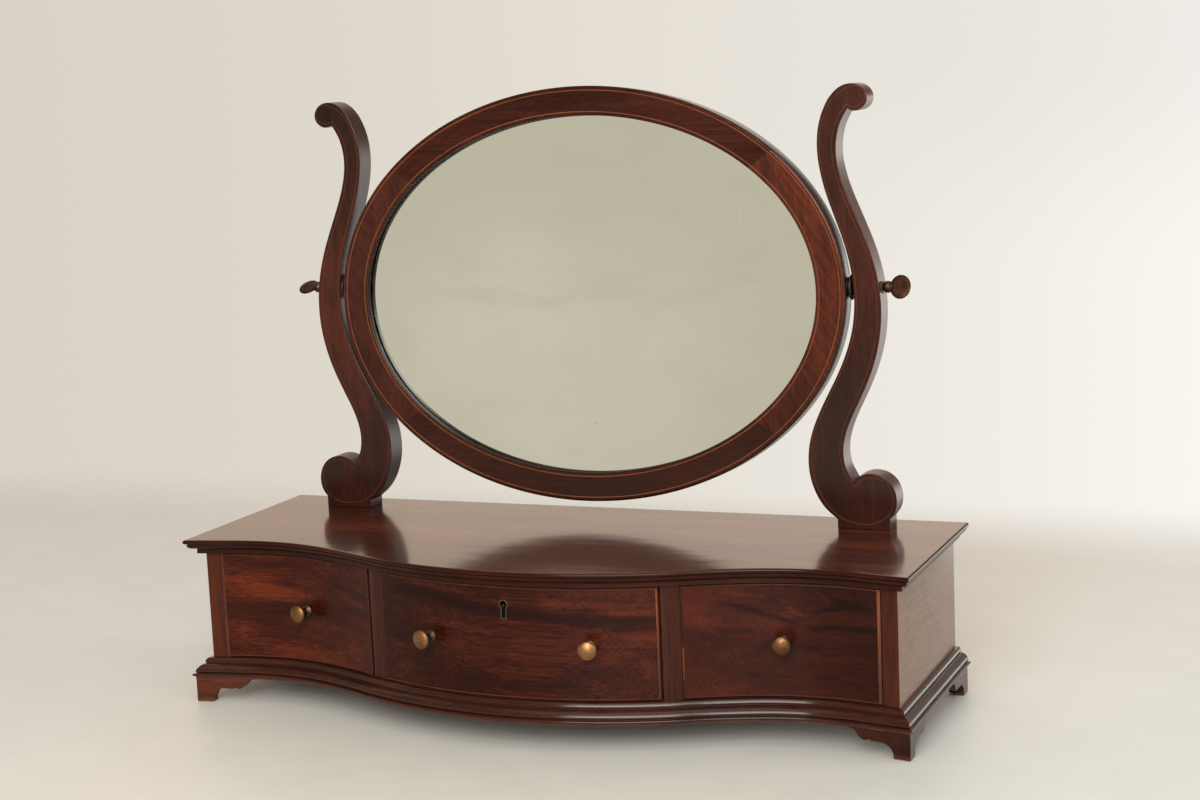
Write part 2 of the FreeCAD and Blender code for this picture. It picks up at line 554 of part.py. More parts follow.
    # stops glued to the bottom board just behind the drawer front
    for sx in ((x0 + 45.0, x1 - 45.0)):
        sl = q("stop_w") / 2
        dd = D_BACK + 0.3
        e = front_edges(dd, sx - sl, sx + sl, zm)
        ye = front_y(sx, dd) + q("stop_len")
        e += [Part.LineSegment(V(sx + sl, front_y(sx + sl, dd), zm), V(sx + sl, ye, zm)).toShape(),
              Part.LineSegment(V(sx + sl, ye, zm), V(sx - sl, ye, zm)).toShape(),
              Part.LineSegment(V(sx - sl, ye, zm), V(sx - sl, front_y(sx - sl, dd), zm)).toShape()]
        stops.append(Part.Face(Part.Wire(e)).extrude(V(0, 0, q("stop_h"))))
made("drawer_stops", Part.makeCompound(stops))

# =================================================================== uprights
# Outline of the right upright in X and Z: up the inner edge and over the top
# scroll to its notch, down the outer edge to the lower notch, round the lower
# scroll to the plinth block.
INNER = [(240.6, 166.1), (230.7, 174.4), (223.1, 184.7), (217.9, 196.5), (215.0, 209.0), (214.4, 221.9), (215.8, 234.7), (219.1, 247.1),
         (223.8, 259.1), (229.3, 270.8), (235.2, 282.2), (241.2, 293.6), (246.8, 305.2), (251.8, 317.1), (255.9, 329.3), (258.9, 341.8),
         (260.6, 354.6), (261.2, 367.5), (260.5, 380.3), (258.8, 393.1), (256.2, 405.7), (252.8, 418.2), (248.8, 430.4), (244.4, 442.5),
         (240.1, 454.6), (236.2, 467.0), (233.2, 479.5), (231.1, 492.2), (230.4, 505.0), (231.4, 517.9), (234.4, 530.4), (239.6, 542.1),
         (243.6, 547.9), (248.4, 552.9), (254.3, 556.7), (261.2, 558.4), (268.1, 557.5), (273.5, 554.3), (276.7, 549.2), (277.2, 543.7),
         (275.0, 538.9), (271.1, 535.7), (266.6, 534.3), (262.5, 534.9), (259.2, 536.6)]
OUTER = [(259.2, 536.6), (251.9, 523.2), (248.3, 508.4), (248.2, 493.1), (251.2, 478.1), (255.9, 463.6), (261.6, 449.4), (267.5, 435.3),
         (273.2, 421.1), (278.2, 406.6), (282.1, 391.8), (284.7, 376.8), (285.8, 361.5), (285.4, 346.2), (283.5, 331.0), (280.1, 316.1),
         (275.4, 301.6), (269.5, 287.5), (262.9, 273.7), (256.1, 259.9), (250.5, 245.7), (247.6, 230.7), (249.1, 215.6), (255.7, 201.9)]
SCROLL = [(255.7, 201.9), (262.5, 206.6), (270.4, 209.0), (278.8, 208.5), (286.4, 205.1), (292.2, 199.1), (295.4, 191.4), (296.2, 183.1),
          (294.3, 174.9), (289.6, 168.1)]
# centre lines of the inlaid string on the front face
STRING_A = [(257.2, 196.5), (265.6, 203.8), (276.7, 205.4), (286.9, 201.0), (292.3, 191.2), (292.4, 179.9), (287.2, 170.0), (277.6, 164.2),
            (266.4, 162.2), (255.1, 163.4), (244.6, 167.5), (235.6, 174.3), (228.5, 183.2), (223.3, 193.3), (219.7, 204.0), (217.6, 215.2),
            (217.0, 226.5), (218.3, 237.7), (221.8, 248.5), (226.5, 258.9), (231.5, 269.0), (236.5, 279.3), (241.4, 289.5), (246.5, 299.6),
            (251.4, 309.9), (255.7, 320.4), (259.1, 331.2), (261.4, 342.3), (262.8, 353.6), (263.4, 364.9), (263.2, 376.2), (262.2, 387.6),
            (260.4, 398.8), (257.8, 409.8), (254.5, 420.7), (250.9, 431.4), (247.1, 442.1), (243.3, 452.8), (239.8, 463.6), (236.7, 474.5),
            (234.4, 485.6), (233.0, 496.9), (232.9, 508.3), (234.3, 519.5), (237.3, 530.4), (242.4, 540.6), (249.8, 549.1), (259.6, 554.8),
            (266.4, 556.2), (272.0, 554.6), (275.2, 550.6), (275.6, 546.0), (273.4, 541.6), (269.1, 538.6), (263.8, 538.0), (258.3, 540.3)]
STRING_B = [(258.3, 540.3), (249.5, 527.5), (245.0, 512.3), (244.4, 496.5), (246.8, 480.9), (251.2, 465.7), (256.9, 450.9), (263.0, 436.3),
            (269.0, 421.6), (274.3, 406.7), (278.4, 391.4), (281.1, 375.8), (282.1, 360.0), (281.5, 344.1), (279.2, 328.5), (275.4, 313.1),
            (270.2, 298.1), (263.6, 283.7), (256.5, 269.6), (250.0, 255.1), (245.5, 240.0), (244.4, 224.2), (248.3, 209.0), (257.2, 196.5)]
BLOCK_IN, BLOCK_OUT = 240.6, 289.6


def offset_run(points, d):
    """points of a smooth run moved d to the right of its direction"""
    c = spline([(x, z, 0) for x, z in points])
    out = []
    for x, z in points:
        u = c.parameter(V(x, z, 0))
        t = c.tangent(u)[0]
        out.append(V(x + t.y * d, z - t.x * d, 0))
    return out, c


def corner(c1, c2, d):
    """where the offsets of two runs meet at a sharp corner (end of c1, start of c2)"""
    p = c1.EndPoint
    t1 = c1.tangent(c1.LastParameter)[0]
    t2 = c2.tangent(c2.FirstParameter)[0]
    n1, n2 = V(t1.y, -t1.x, 0), V(t2.y, -t2.x, 0)
    m = n1 + n2
    return p + m * (2 * d / m.dot(m)) if m.Length > 1e-6 else p + n1 * d


def string_loop(d, sign):
    a, ca = offset_run(STRING_A, d)
    b, cb = offset_run(STRING_B, d)
    top_, low = corner(ca, cb, d), corner(cb, ca, d)

    def tidy(run, first, last):
        keep = [first]
        for p in run[1:-1]:
            if (p - keep[-1]).Length > 2.5 and (p - last).Length > 2.5:
                keep.append(p)
        return keep + [last]
    a = tidy(a, low, top_)
    b = tidy(b, top_, low)
    return [spline([V(sign * p.x, p.y, 0) for p in run]) for run in (a, b)]


def upright_geometry(sign):
    def m(points):
        return [V(sign * x, z, 0) for x, z in points]
    return [spline(m(INNER)), spline(m(OUTER)), spline(m(SCROLL)),
            Part.LineSegment(V(sign * BLOCK_OUT, SCROLL[-1][1], 0), V(sign * BLOCK_OUT, zt, 0)),
            Part.LineSegment(V(sign * BLOCK_OUT, zt, 0), V(sign * BLOCK_IN, zt, 0)),
            Part.LineSegment(V(sign * BLOCK_IN, zt, 0), V(sign * BLOCK_IN, INNER[0][1], 0))]


# the last scroll point and first inner point sit on the block's sides
SCROLL[-1] = (BLOCK_OUT, SCROLL[-1][1])

bx = {}
screws = []
for side, sign in (("left", -1), ("right", 1)):
    p = "upright_" + side
    b = body(p + "_blank")
    s = sketch(b, "XZ_Plane", "-(Dims.up_front_y + Dims.up_thk)")
    for g in upright_geometry(sign):
        s.addGeometry(g, False)
    pad(b, s, "Dims.up_thk")
    st = body(p + "_stringing")
    s2 = sketch(st, "XZ_Plane", "-(Dims.up_front_y + Dims.inlay_deep)")
    for d in (0.5, -0.5):
        for g in string_loop(d * q("inlay_w"), sign):
            s2.addGeometry(g, False)
    pad(st, s2, "Dims.inlay_deep")
    node(st, p + "_stringing")
    side_screws = []
    for sx in ("screw_in_x", "screw_out_x"):
        x = sign * q(sx)
        shank = Part.makeCylinder(q("screw_dia") / 2, 36.0, V(x, q("screw_y"), zc + 0.4), V(0, 0, 1))
        head = Part.makeCone(4.0, 2.0, 2.4, V(x, q("screw_y"), zc + 0.4), V(0, 0, 1))
        tip = Part.makeCone(2.0, 0.4, 3.0, V(x, q("screw_y"), zc + 36.4), V(0, 0, 1))
        side_screws.append(shank.fuse([head, tip]).removeSplitter())
    screws += side_screws
    fixings = hidden(p + "_fixings", Part.makeCompound(side_screws))
    bore = cylinder(p + "_bore", "Dims.bore_dia / 2", "80", V(sign * 240, q("piv_y"), q("piv_z")), V(sign, 0, 0))
    seat = cylinder(p + "_seat", "Dims.washer_dia / 2 + 0.2", "20", V(sign * q("seat_x"), q("piv_y"), q("piv_z")), V(sign, 0, 0))
    cut(p, b, [st, fixings, bore, seat])
upright_screws = made("upright_screws", Part.makeCompound(screws))
seats = []
for screw in screws:
    c = screw.BoundBox.Center
    seats.append(screw.fuse(Part.makeCylinder(4.0, 1.4, V(c.x, c.y, zc - 1.0), V(0, 0, 1))).removeSplitter())
cut("top_board", top_blank, [hidden("top_hollows", Part.makeCompound(seats + [bolt_mortise]))])

# ================================================================ swing glass
# Built flat (x across, y up the oval, z towards the viewer, z = 0 the front)
# and then leaned back about its width.
LEAN = FreeCAD.Placement(V(0, q("oval_y"), q("oval_z")), FreeCAD.Rotation(V(1, 0, 0), 90.0 - q("tilt")))
JOINTS = (-34.0, 35.0, 148.5, 213.0, 326.0)


def ellipse_arc(a, b, deg0, deg1):
    def t(deg):
        r = math.radians(deg)
        k = math.atan2(a * math.sin(r), b * math.cos(r))
        turns = round((r - k) / (2 * math.pi))
        return k + turns * 2 * math.pi
    return Part.ArcOfEllipse(Part.Ellipse(V(0, 0, 0), a, b), t(deg0), t(deg1))


def sector(s, a0, b0, a1, b1, deg0, deg1):
    i, o = ellipse_arc(a0, b0, deg0, deg1), ellipse_arc(a1, b1, deg0, deg1)
    for g in (i, o, Part.LineSegment(i.StartPoint, o.StartPoint), Part.LineSegment(i.EndPoint, o.EndPoint)):
        s.addGeometry(g, False)


A, B = q("oval_a"), q("oval_b")
hw = q("line_w") / 2


def frame_segment(label, deg0, deg1):
    b = body(label)
    s = sketch(b, "XY_Plane", "-Dims.lip_deep", "lip")
    sector(s, q("sight_a"), q("sight_b"), A, B, deg0, deg1)
    pad(b, s, "Dims.lip_deep", "lip_pad")
    s = sketch(b, "XY_Plane", "-Dims.board_deep", "glass_rebate")
    sector(s, q("glass_a"), q("glass_b"), A, B, deg0, deg1)
    pad(b, s, "Dims.board_deep - Dims.lip_deep", "glass_rebate_pad")
    s = sketch(b, "XY_Plane", "-Dims.frame_thk", "board_rebate")
    sector(s, q("board_a"), q("board_b"), A, B, deg0, deg1)
    last = pad(b, s, "Dims.frame_thk - Dims.board_deep", "board_rebate_pad")
    for n in (1, 2):
        s = sketch(b, "XY_Plane", None, "line_%d" % n)
        la, lb = q("line%d_a" % n), q("line%d_b" % n)
        sector(s, la - hw, lb - hw, la + hw, lb + hw, deg0, deg1)
        last = b.newObject("PartDesign::Pocket", b.Name + "_groove_%d" % n)
        last.Profile = s
        last.setExpression("Length", "Dims.line_deep")
        s.Visibility = False
    doc.recompute()
    names = []
    for i, e in enumerate(b.Shape.Edges, 1):
        m = e.valueAt((e.FirstParameter + e.LastParameter) / 2)
        if abs(m.z) < 1e-4 and abs((m.x / A) ** 2 + (m.y / B) ** 2 - 1) < 1e-4:
            names.append("Edge%d" % i)
    f = b.newObject("PartDesign::Fillet", b.Name + "_arris")
    f.Base = (last, names)
    f.setExpression("Radius", "Dims.arris")
    b.Placement = LEAN
    return b


segments = {}
for i, name in enumerate(("right", "top", "left", "bottom")):
    segments[name] = frame_segment("frame_segment_%s_blank" % name, JOINTS[i], JOINTS[i + 1])


def ring(a, b, depth0, depth1, w):
    o = Part.Face(Part.Wire([Part.Ellipse(V(0, 0, -depth1), a + w, b + w).toShape()])).extrude(V(0, 0, depth1 - depth0))
    i = Part.Face(Part.Wire([Part.Ellipse(V(0, 0, -depth1 - 1), a - w, b - w).toShape()])).extrude(V(0, 0, depth1 - depth0 + 2))
    return o.cut(i)


def leaned(label, shape):
    f = doc.addObject("Part::Feature", label)
    f.Shape = shape
    f.Placement = LEAN
    return node(f, label)


leaned("frame_stringing", Part.makeCompound([ring(q("line1_a"), q("line1_b"), 0, q("line_deep"), hw), ring(q("line2_a"), q("line2_b"), 0, q("line_deep"), hw)]))


def oval_board(label, a, b_, depth, thick):
    b = body(label)
    s = sketch(b, "XY_Plane", "-(%s) - (%s)" % (depth, thick))
    i = s.addGeometry(Part.Ellipse(V(0, 0, 0), a, b_), False)
    pad(b, s, thick)
    b.Placement = LEAN
    return b


node(oval_board("mirror_plate", q("glass_a") - 0.8, q("glass_b") - 0.8, "Dims.lip_deep", "Dims.plate_thk"), "mirror_plate")
backing = oval_board("backboard_blank", q("board_a") - 0.5, q("board_b") - 0.5, "Dims.board_deep", "Dims.backing_thk")

# softwood blocks that hold the plate in its rebate
blocks = []
z_a, z_b = -(q("board_deep") - 0.1), -(q("lip_deep") + q("plate_thk"))
for deg in (18, 55, 90, 125, 162, 200, 235, 270, 305, 342):
    i = ellipse_arc(q("glass_a") - 6.0, q("glass_b") - 6.0, deg - 3.2, deg + 3.2)
    o = ellipse_arc(q("glass_a") - 0.05, q("glass_b") - 0.05, deg - 3.2, deg + 3.2)
    w = Part.Wire(Part.__sortEdges__([i.toShape(), o.toShape(), Part.LineSegment(i.StartPoint, o.StartPoint).toShape(), Part.LineSegment(i.EndPoint, o.EndPoint).toShape()]))
    f = Part.Face(w)
    f.translate(V(0, 0, z_a))
    blocks.append(f.extrude(V(0, 0, z_b - z_a)))
leaned("glazing_blocks", Part.makeCompound(blocks))

# small countersunk screws through the backboard into the frame
bs = []
ea, eb = (q("glass_a") + q("board_a")) / 2, (q("glass_b") + q("board_b")) / 2
z_back = -(q("board_deep") + q("backing_thk"))
for deg in (14, 62, 118, 166, 194, 242, 298, 346):
    r = math.radians(deg)
    k = math.atan2(ea * math.sin(r), eb * math.cos(r))
    x, y = ea * math.cos(k), eb * math.sin(k)
    head = Part.makeCone(2.6, 1.1, 1.5, V(x, y, z_back), V(0, 0, 1))
    shank = Part.makeCylinder(1.1, 11.5, V(x, y, z_back), V(0, 0, 1))
    bs.append(head.fuse(shank).removeSplitter())
back_screws = leaned("backboard_screws", Part.makeCompound(bs))
cut("backboard", backing, [back_screws])

# pivots, left and right, on one axis across the frame
piv = V(0, q("piv_y"), q("piv_z"))
xr = q("rim_flat_x")
nuts, collars, washers, cuts = [], [], [], {}
for side, sign in (("left", -1), ("right", 1)):
    out = V(sign, 0, 0)
    nut = Part.makeCylinder(q("nut_dia") / 2, q("nut_len"), V(sign * (xr - q("nut_len")), piv.y, piv.z), out)
    nuts.append(nut.cut(Part.makeCylinder(q("bore_dia") / 2, 40, V(sign * (xr - 30), piv.y, piv.z), out)))
    pocket = cylinder("nut_pocket_" + side, "Dims.nut_dia / 2", "Dims.nut_len + 5", V(sign * (xr - q("nut_len")), piv.y, piv.z), out)
    flat = cylinder("rim_flat_" + side, "Dims.flat_dia / 2", "5", V(sign * xr, piv.y, piv.z), out)
    cuts[side] = [pocket, flat, back_screws]
    # turned collar: a flange on the rim, a cove, a bulging disc and a small boss
    prof = [(2.55, 0.0), (8.8, 0.0), (8.9, 0.9), (8.2, 1.5), (7.6, 1.9), (9.4, 2.3), (11.2, 3.0), (12.0, 3.9), (11.6, 4.7), (10.4, 5.4), (7.0, 6.0), (4.4, 6.3), (4.4, 6.7), (2.55, 6.7)]
    rot = FreeCAD.Rotation(V(0, -1, 0), out)
    collars.append(turned("pivot_collar_" + side, prof, FreeCAD.Placement(V(sign * xr, piv.y, piv.z), rot)))
    w = Part.makeCylinder(q("washer_dia") / 2, q("washer_thk"), V(sign * q("seat_x"), piv.y, piv.z), out)
    washers.append(w.cut(Part.makeCylinder(q("bore_dia") / 2 + 0.2, 20, V(sign * (q("seat_x") - 5), piv.y, piv.z), out)))
made("pivot_nuts", Part.makeCompound(nuts))
made("thumbscrew_washers", Part.makeCompound(washers))
group("pivot_collars", collars)
for name in ("right", "top", "left", "bottom"):
    cut("frame_segment_" + name, segments[name], cuts.get(name, [back_screws]))

# Thumb-screws: a pin, a ball and a flat oval blade, turned about their own X.
for side, sign, lean in (("left", -1, -62.0), ("right", 1, -20.0)):
    b = body("thumbscrew_" + side)
    s = sketch(b, "XY_Plane", None, "turning")
    r, pr = q("ball_dia") / 2, q("pin_dia") / 2
    x_tip, x_face = xr - q("nut_len") + 1.0, q("seat_x") + q("washer_thk") + 0.3
    xc = x_face + 4.2
    x_c0 = xc - math.sqrt(r * r - 3.6 ** 2)
    pts = [V(x_tip, 0, 0), V(x_tip, pr - 0.8, 0), V(x_tip + 0.8, pr, 0), V(x_face, pr, 0), V(x_face, 3.6, 0), V(x_c0, 3.6, 0)]
    pts = [V(sign * v.x, v.y, 0) for v in pts]
    for a, c in zip(pts, pts[1:]):
        s.addGeometry(Part.LineSegment(a, c), False)
    mid = V(sign * xc, r, 0)
    end = V(sign * (xc + r), 0, 0)
    arc = Part.Arc(pts[-1], mid, end)
    s.addGeometry(arc, False)
    s.addGeometry(Part.LineSegment(end, pts[0]), False)
    rv = b.newObject("PartDesign::Revolution", b.Name + "_turn")
    rv.Profile = s
    rv.ReferenceAxis = (s, ["H_Axis"])
    rv.Angle = 360.0
    s.Visibility = False
    s2 = sketch(b, "XZ_Plane", None, "blade")
    x_mid = sign * (xc + r * 0.55 + q("blade_len") / 2 - 1.0)
    # a slightly egg-shaped oval, wider than it is long
    s2.addGeometry(Part.Ellipse(V(x_mid, q("blade_w") / 2, 0), V(x_mid + q("blade_len") / 2, 0, 0), V(x_mid, 0, 0)), False)
    pad(b, s2, "Dims.blade_thk", "blade_pad", Midplane=True)
    b.Placement = FreeCAD.Placement(piv, FreeCAD.Rotation(V(1, 0, 0), lean))
    node(b, "thumbscrew_" + side)

# ===================================================================== output
doc.recompute()
bad = [o.Label for o in doc.Objects if any(flag in ("Invalid", "Error") for flag in o.State)]
if bad:
    raise SystemExit("failed objects: " + ", ".join(bad))
for name, obj in sorted(NODES.items()):
    sh = obj.Shape
    if sh.isNull() or not sh.isValid() or not sh.Solids:
        raise SystemExit("bad shape: %s null=%s valid=%s" % (name, sh.isNull(), (not sh.isNull()) and sh.isValid()))
os.makedirs("parts", exist_ok=True)
for old in os.listdir("parts"):
    if old.endswith(".step") and old[:-5] not in NODES:
        os.remove(os.path.join("parts", old))
total = None
for name, obj in sorted(NODES.items()):
    obj.Shape.exportStep(os.path.join("parts", name + ".step"))
    bb = obj.Shape.BoundBox
    total = bb if total is None else total.united(bb)
    print("%-28s solids %d  vol %10.1f  x %7.1f %7.1f  y %7.1f %7.1f  z %6.1f %6.1f" % (
        name, len(obj.Shape.Solids), obj.Shape.Volume, bb.XMin, bb.XMax, bb.YMin, bb.YMax, bb.ZMin, bb.ZMax))
print("nodes", len(NODES), "box", total)
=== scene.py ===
import math

import bmesh
import bpy
from mathutils import Matrix, Vector


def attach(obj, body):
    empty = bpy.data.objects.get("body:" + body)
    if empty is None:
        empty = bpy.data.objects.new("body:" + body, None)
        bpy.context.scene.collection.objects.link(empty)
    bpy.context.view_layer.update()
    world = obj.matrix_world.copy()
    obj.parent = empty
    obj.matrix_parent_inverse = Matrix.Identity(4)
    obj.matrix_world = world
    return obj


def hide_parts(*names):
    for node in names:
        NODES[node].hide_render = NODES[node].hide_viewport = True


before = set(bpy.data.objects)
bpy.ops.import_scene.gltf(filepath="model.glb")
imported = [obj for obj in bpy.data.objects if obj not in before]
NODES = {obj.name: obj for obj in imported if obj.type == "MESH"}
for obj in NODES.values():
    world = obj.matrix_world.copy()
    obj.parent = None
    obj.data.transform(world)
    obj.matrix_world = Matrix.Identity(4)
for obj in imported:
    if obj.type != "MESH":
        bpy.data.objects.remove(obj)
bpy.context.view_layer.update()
MM = 0.001

# Dressing-table mirror.  Everything below is worked out in millimetres in the
# model's own frame (X across, -Y to the front, Z up) and scaled once when a
# mesh is made.

# ------------------------------------------------------------------ plan curve
NOSE_Y, R1, T1, R2, T2, R3, T3 = -135.2, 371.26, 0.443, 404.3, 0.30, 181.4, 0.181
MITRE = 336.2
D0 = 14.3
D_FACE = D0 - 0.8
D_BACK = D_FACE + 16.0


def key(d):
    c1 = (0.0, NOSE_Y + R1)
    n1 = (R1 * math.sin(T1), c1[1] - R1 * math.cos(T1))
    c2 = (n1[0] + R2 * math.sin(T1), n1[1] - R2 * math.cos(T1))
    n2 = (c2[0] - R2 * math.sin(T2), c2[1] + R2 * math.cos(T2))
    c3 = (n2[0] + R3 * math.sin(T2), n2[1] - R3 * math.cos(T2))
    r1, r2, r3 = R1 - d, R2 + d, R3 + d
    return (c1, r1, c2, r2, c3, r3, r1 * math.sin(T1), c2[0] - r2 * math.sin(T2), c3[0] + r3 * math.sin(T3), c3[1] + r3 * math.cos(T3))


KEYS = {}


def front_y(x, d):
    k = KEYS.get(d)
    if k is None:
        k = KEYS[d] = key(d)
    a = abs(x)
    if a <= k[6]:
        return k[0][1] - math.sqrt(k[1] ** 2 - a * a)
    if a <= k[7]:
        return k[2][1] + math.sqrt(k[3] ** 2 - (a - k[2][0]) ** 2)
    if a <= k[8]:
        return k[4][1] + math.sqrt(k[5] ** 2 - (a - k[4][0]) ** 2)
    return k[9] - (a - k[8]) * math.tan(T3)


def front_angle(x, d):
    return math.atan((front_y(x + 0.05, d) - front_y(x - 0.05, d)) / 0.1)


Y_CORNER = front_y(MITRE, D0)
SLOPE = math.tan(T3)
K_MITRE = SLOPE + math.sqrt(1 + SLOPE * SLOPE)


def stations(x0, x1, step):
    n = max(2, int(round((x1 - x0) / step)))
    return [x0 + (x1 - x0) * i / n for i in range(n + 1)]


def smooth(pts, k=4):
    """points on a smooth run through pts, k to each span"""
    out, n = [], len(pts)
    for i in range(n - 1):
        p1, p2 = pts[i], pts[i + 1]
        p0 = pts[i - 1] if i else [2 * a - b for a, b in zip(p1, p2)]
        p3 = pts[i + 2] if i + 2 < n else [2 * a - b for a, b in zip(p2, p1)]
        for j in range(k):
            t = j / k
            out.append(tuple(0.5 * (2 * b + (c - a) * t + (2 * a - 5 * b + 4 * c - d) * t * t + (3 * b - a - 3 * c + d) * t ** 3)
                             for a, b, c, d in zip(p0, p1, p2, p3)))
    out.append(tuple(pts[-1]))
    return out


# ------------------------------------------------------------------ mesh tools
def make(name, verts, faces, body, mats, slot=None, replaces=(), pick=None, sharp=38.0, bevel=0.0, segments=2, limit=50.0,
         cutters=(), clamp=False):
    me = bpy.data.meshes.new(name)
    me.from_pydata([(x * MM, y * MM, z * MM) for x, y, z in verts], [], faces)
    bm = bmesh.new()
    bm.from_mesh(me)
    bmesh.ops.recalc_face_normals(bm, faces=bm.faces)
    bm.to_mesh(me)
    bm.free()
    ob = bpy.data.objects.new(name, me)
    bpy.context.scene.collection.objects.link(ob)
    if cutters:
        for c in cutters:
            m = ob.modifiers.new("cut", "BOOLEAN")
            m.operation, m.solver, m.object = "DIFFERENCE", "EXACT", c
        bpy.context.view_layer.update()
        dg = bpy.context.evaluated_depsgraph_get()
        new = bpy.data.meshes.new_from_object(ob.evaluated_get(dg))
        ob.modifiers.clear()
        ob.data = new
        new.name = name
        bpy.data.meshes.remove(me)
        for c in cutters:
            old = c.data
            bpy.data.objects.remove(c)
            bpy.data.meshes.remove(old)
        me = new
    me.materials.clear()
    for m in mats if isinstance(mats, (list, tuple)) else [mats]:
        me.materials.append(m)
    for p in me.polygons:
        p.use_smooth = True
        p.material_index = pick(p) if pick else 0
    me.set_sharp_from_angle(angle=math.radians(sharp))
    if bevel:
        m = ob.modifiers.new("arris", "BEVEL")
        m.width, m.segments, m.limit_method, m.angle_limit = bevel * MM, segments, "ANGLE", math.radians(limit)
        m.use_clamp_overlap = clamp
        m.miter_outer = "MITER_ARC"
        w = ob.modifiers.new("normals", "WEIGHTED_NORMAL")
        w.keep_sharp = True
    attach(ob, body)
    if replaces:
        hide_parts(*replaces)
    return ob


def cutter(verts, faces):
    me = bpy.data.meshes.new("cutter")
    me.from_pydata([(x * MM, y * MM, z * MM) for x, y, z in verts], [], faces)
    bm = bmesh.new()
    bm.from_mesh(me)
    bmesh.ops.recalc_face_normals(bm, faces=bm.faces)
    bm.to_mesh(me)
    bm.free()
    ob = bpy.data.objects.new("cutter", me)
    bpy.context.scene.collection.objects.link(ob)
    ob.hide_render = True
    return ob


def loops_mesh(loops, cap0=True, cap1=True, ring=False):
    """quads between successive closed loops of equal length, with flat caps"""
    verts, faces, n = [], [], len(loops[0])
    for lp in loops:
        verts += list(lp)
    rows = len(loops)
    for i in range(rows if ring else rows - 1):
        a, b = i * n, ((i + 1) % rows) * n
        for j in range(n):
            k = (j + 1) % n
            faces.append((a + j, a + k, b + k, b + j))
    if not ring:
        if cap0:
            faces.append(tuple(range(n - 1, -1, -1)))
        if cap1:
            faces.append(tuple(range((rows - 1) * n, rows * n)))
    return verts, faces


def prism(outline, place, lo, hi):
    """outline of 2-D points carried from lo to hi; place(u, v, w) gives x, y, z"""
    return loops_mesh([[place(u, v, lo) for u, v in outline], [place(u, v, hi) for u, v in outline]])


def box_cutter(x0, x1, y0, y1, z0, z1):
    return cutter(*prism([(x0, y0), (x1, y0), (x1, y1), (x0, y1)], lambda u, v, w: (u, v, w), z0, z1))


def turn(profile, place, n=64):
    """solid of revolution; profile is (radius, along) and place(r cos, r sin, along) gives x, y, z"""
    verts, faces, rows = [], [], []
    for r, t in profile:
        if r < 1e-6:
            rows.append([len(verts)])
            verts.append(place(0.0, 0.0, t))
        else:
            rows.append(list(range(len(verts), len(verts) + n)))
            verts += [place(r * math.cos(2 * math.pi * i / n), r * math.sin(2 * math.pi * i / n), t) for i in range(n)]
    pairs = list(zip(rows, rows[1:]))
    if len(rows[0]) > 1:
        pairs.append((rows[-1], rows[0]))
    for a, b in pairs:
        for i in range(n):
            j = (i + 1) % n
            if len(a) == 1 and len(b) == 1:
                continue
            if len(a) == 1:
                faces.append((a[0], b[i], b[j]))
            elif len(b) == 1:
                faces.append((a[i], a[j], b[0]))
            else:
                faces.append((a[i], a[j], b[j], b[i]))
    return verts, faces


def merge(parts):
    verts, faces = [], []
    for v, f in parts:
        o = len(verts)
        verts += v
        faces += [tuple(i + o for i in q) for q in f]
    return verts, faces


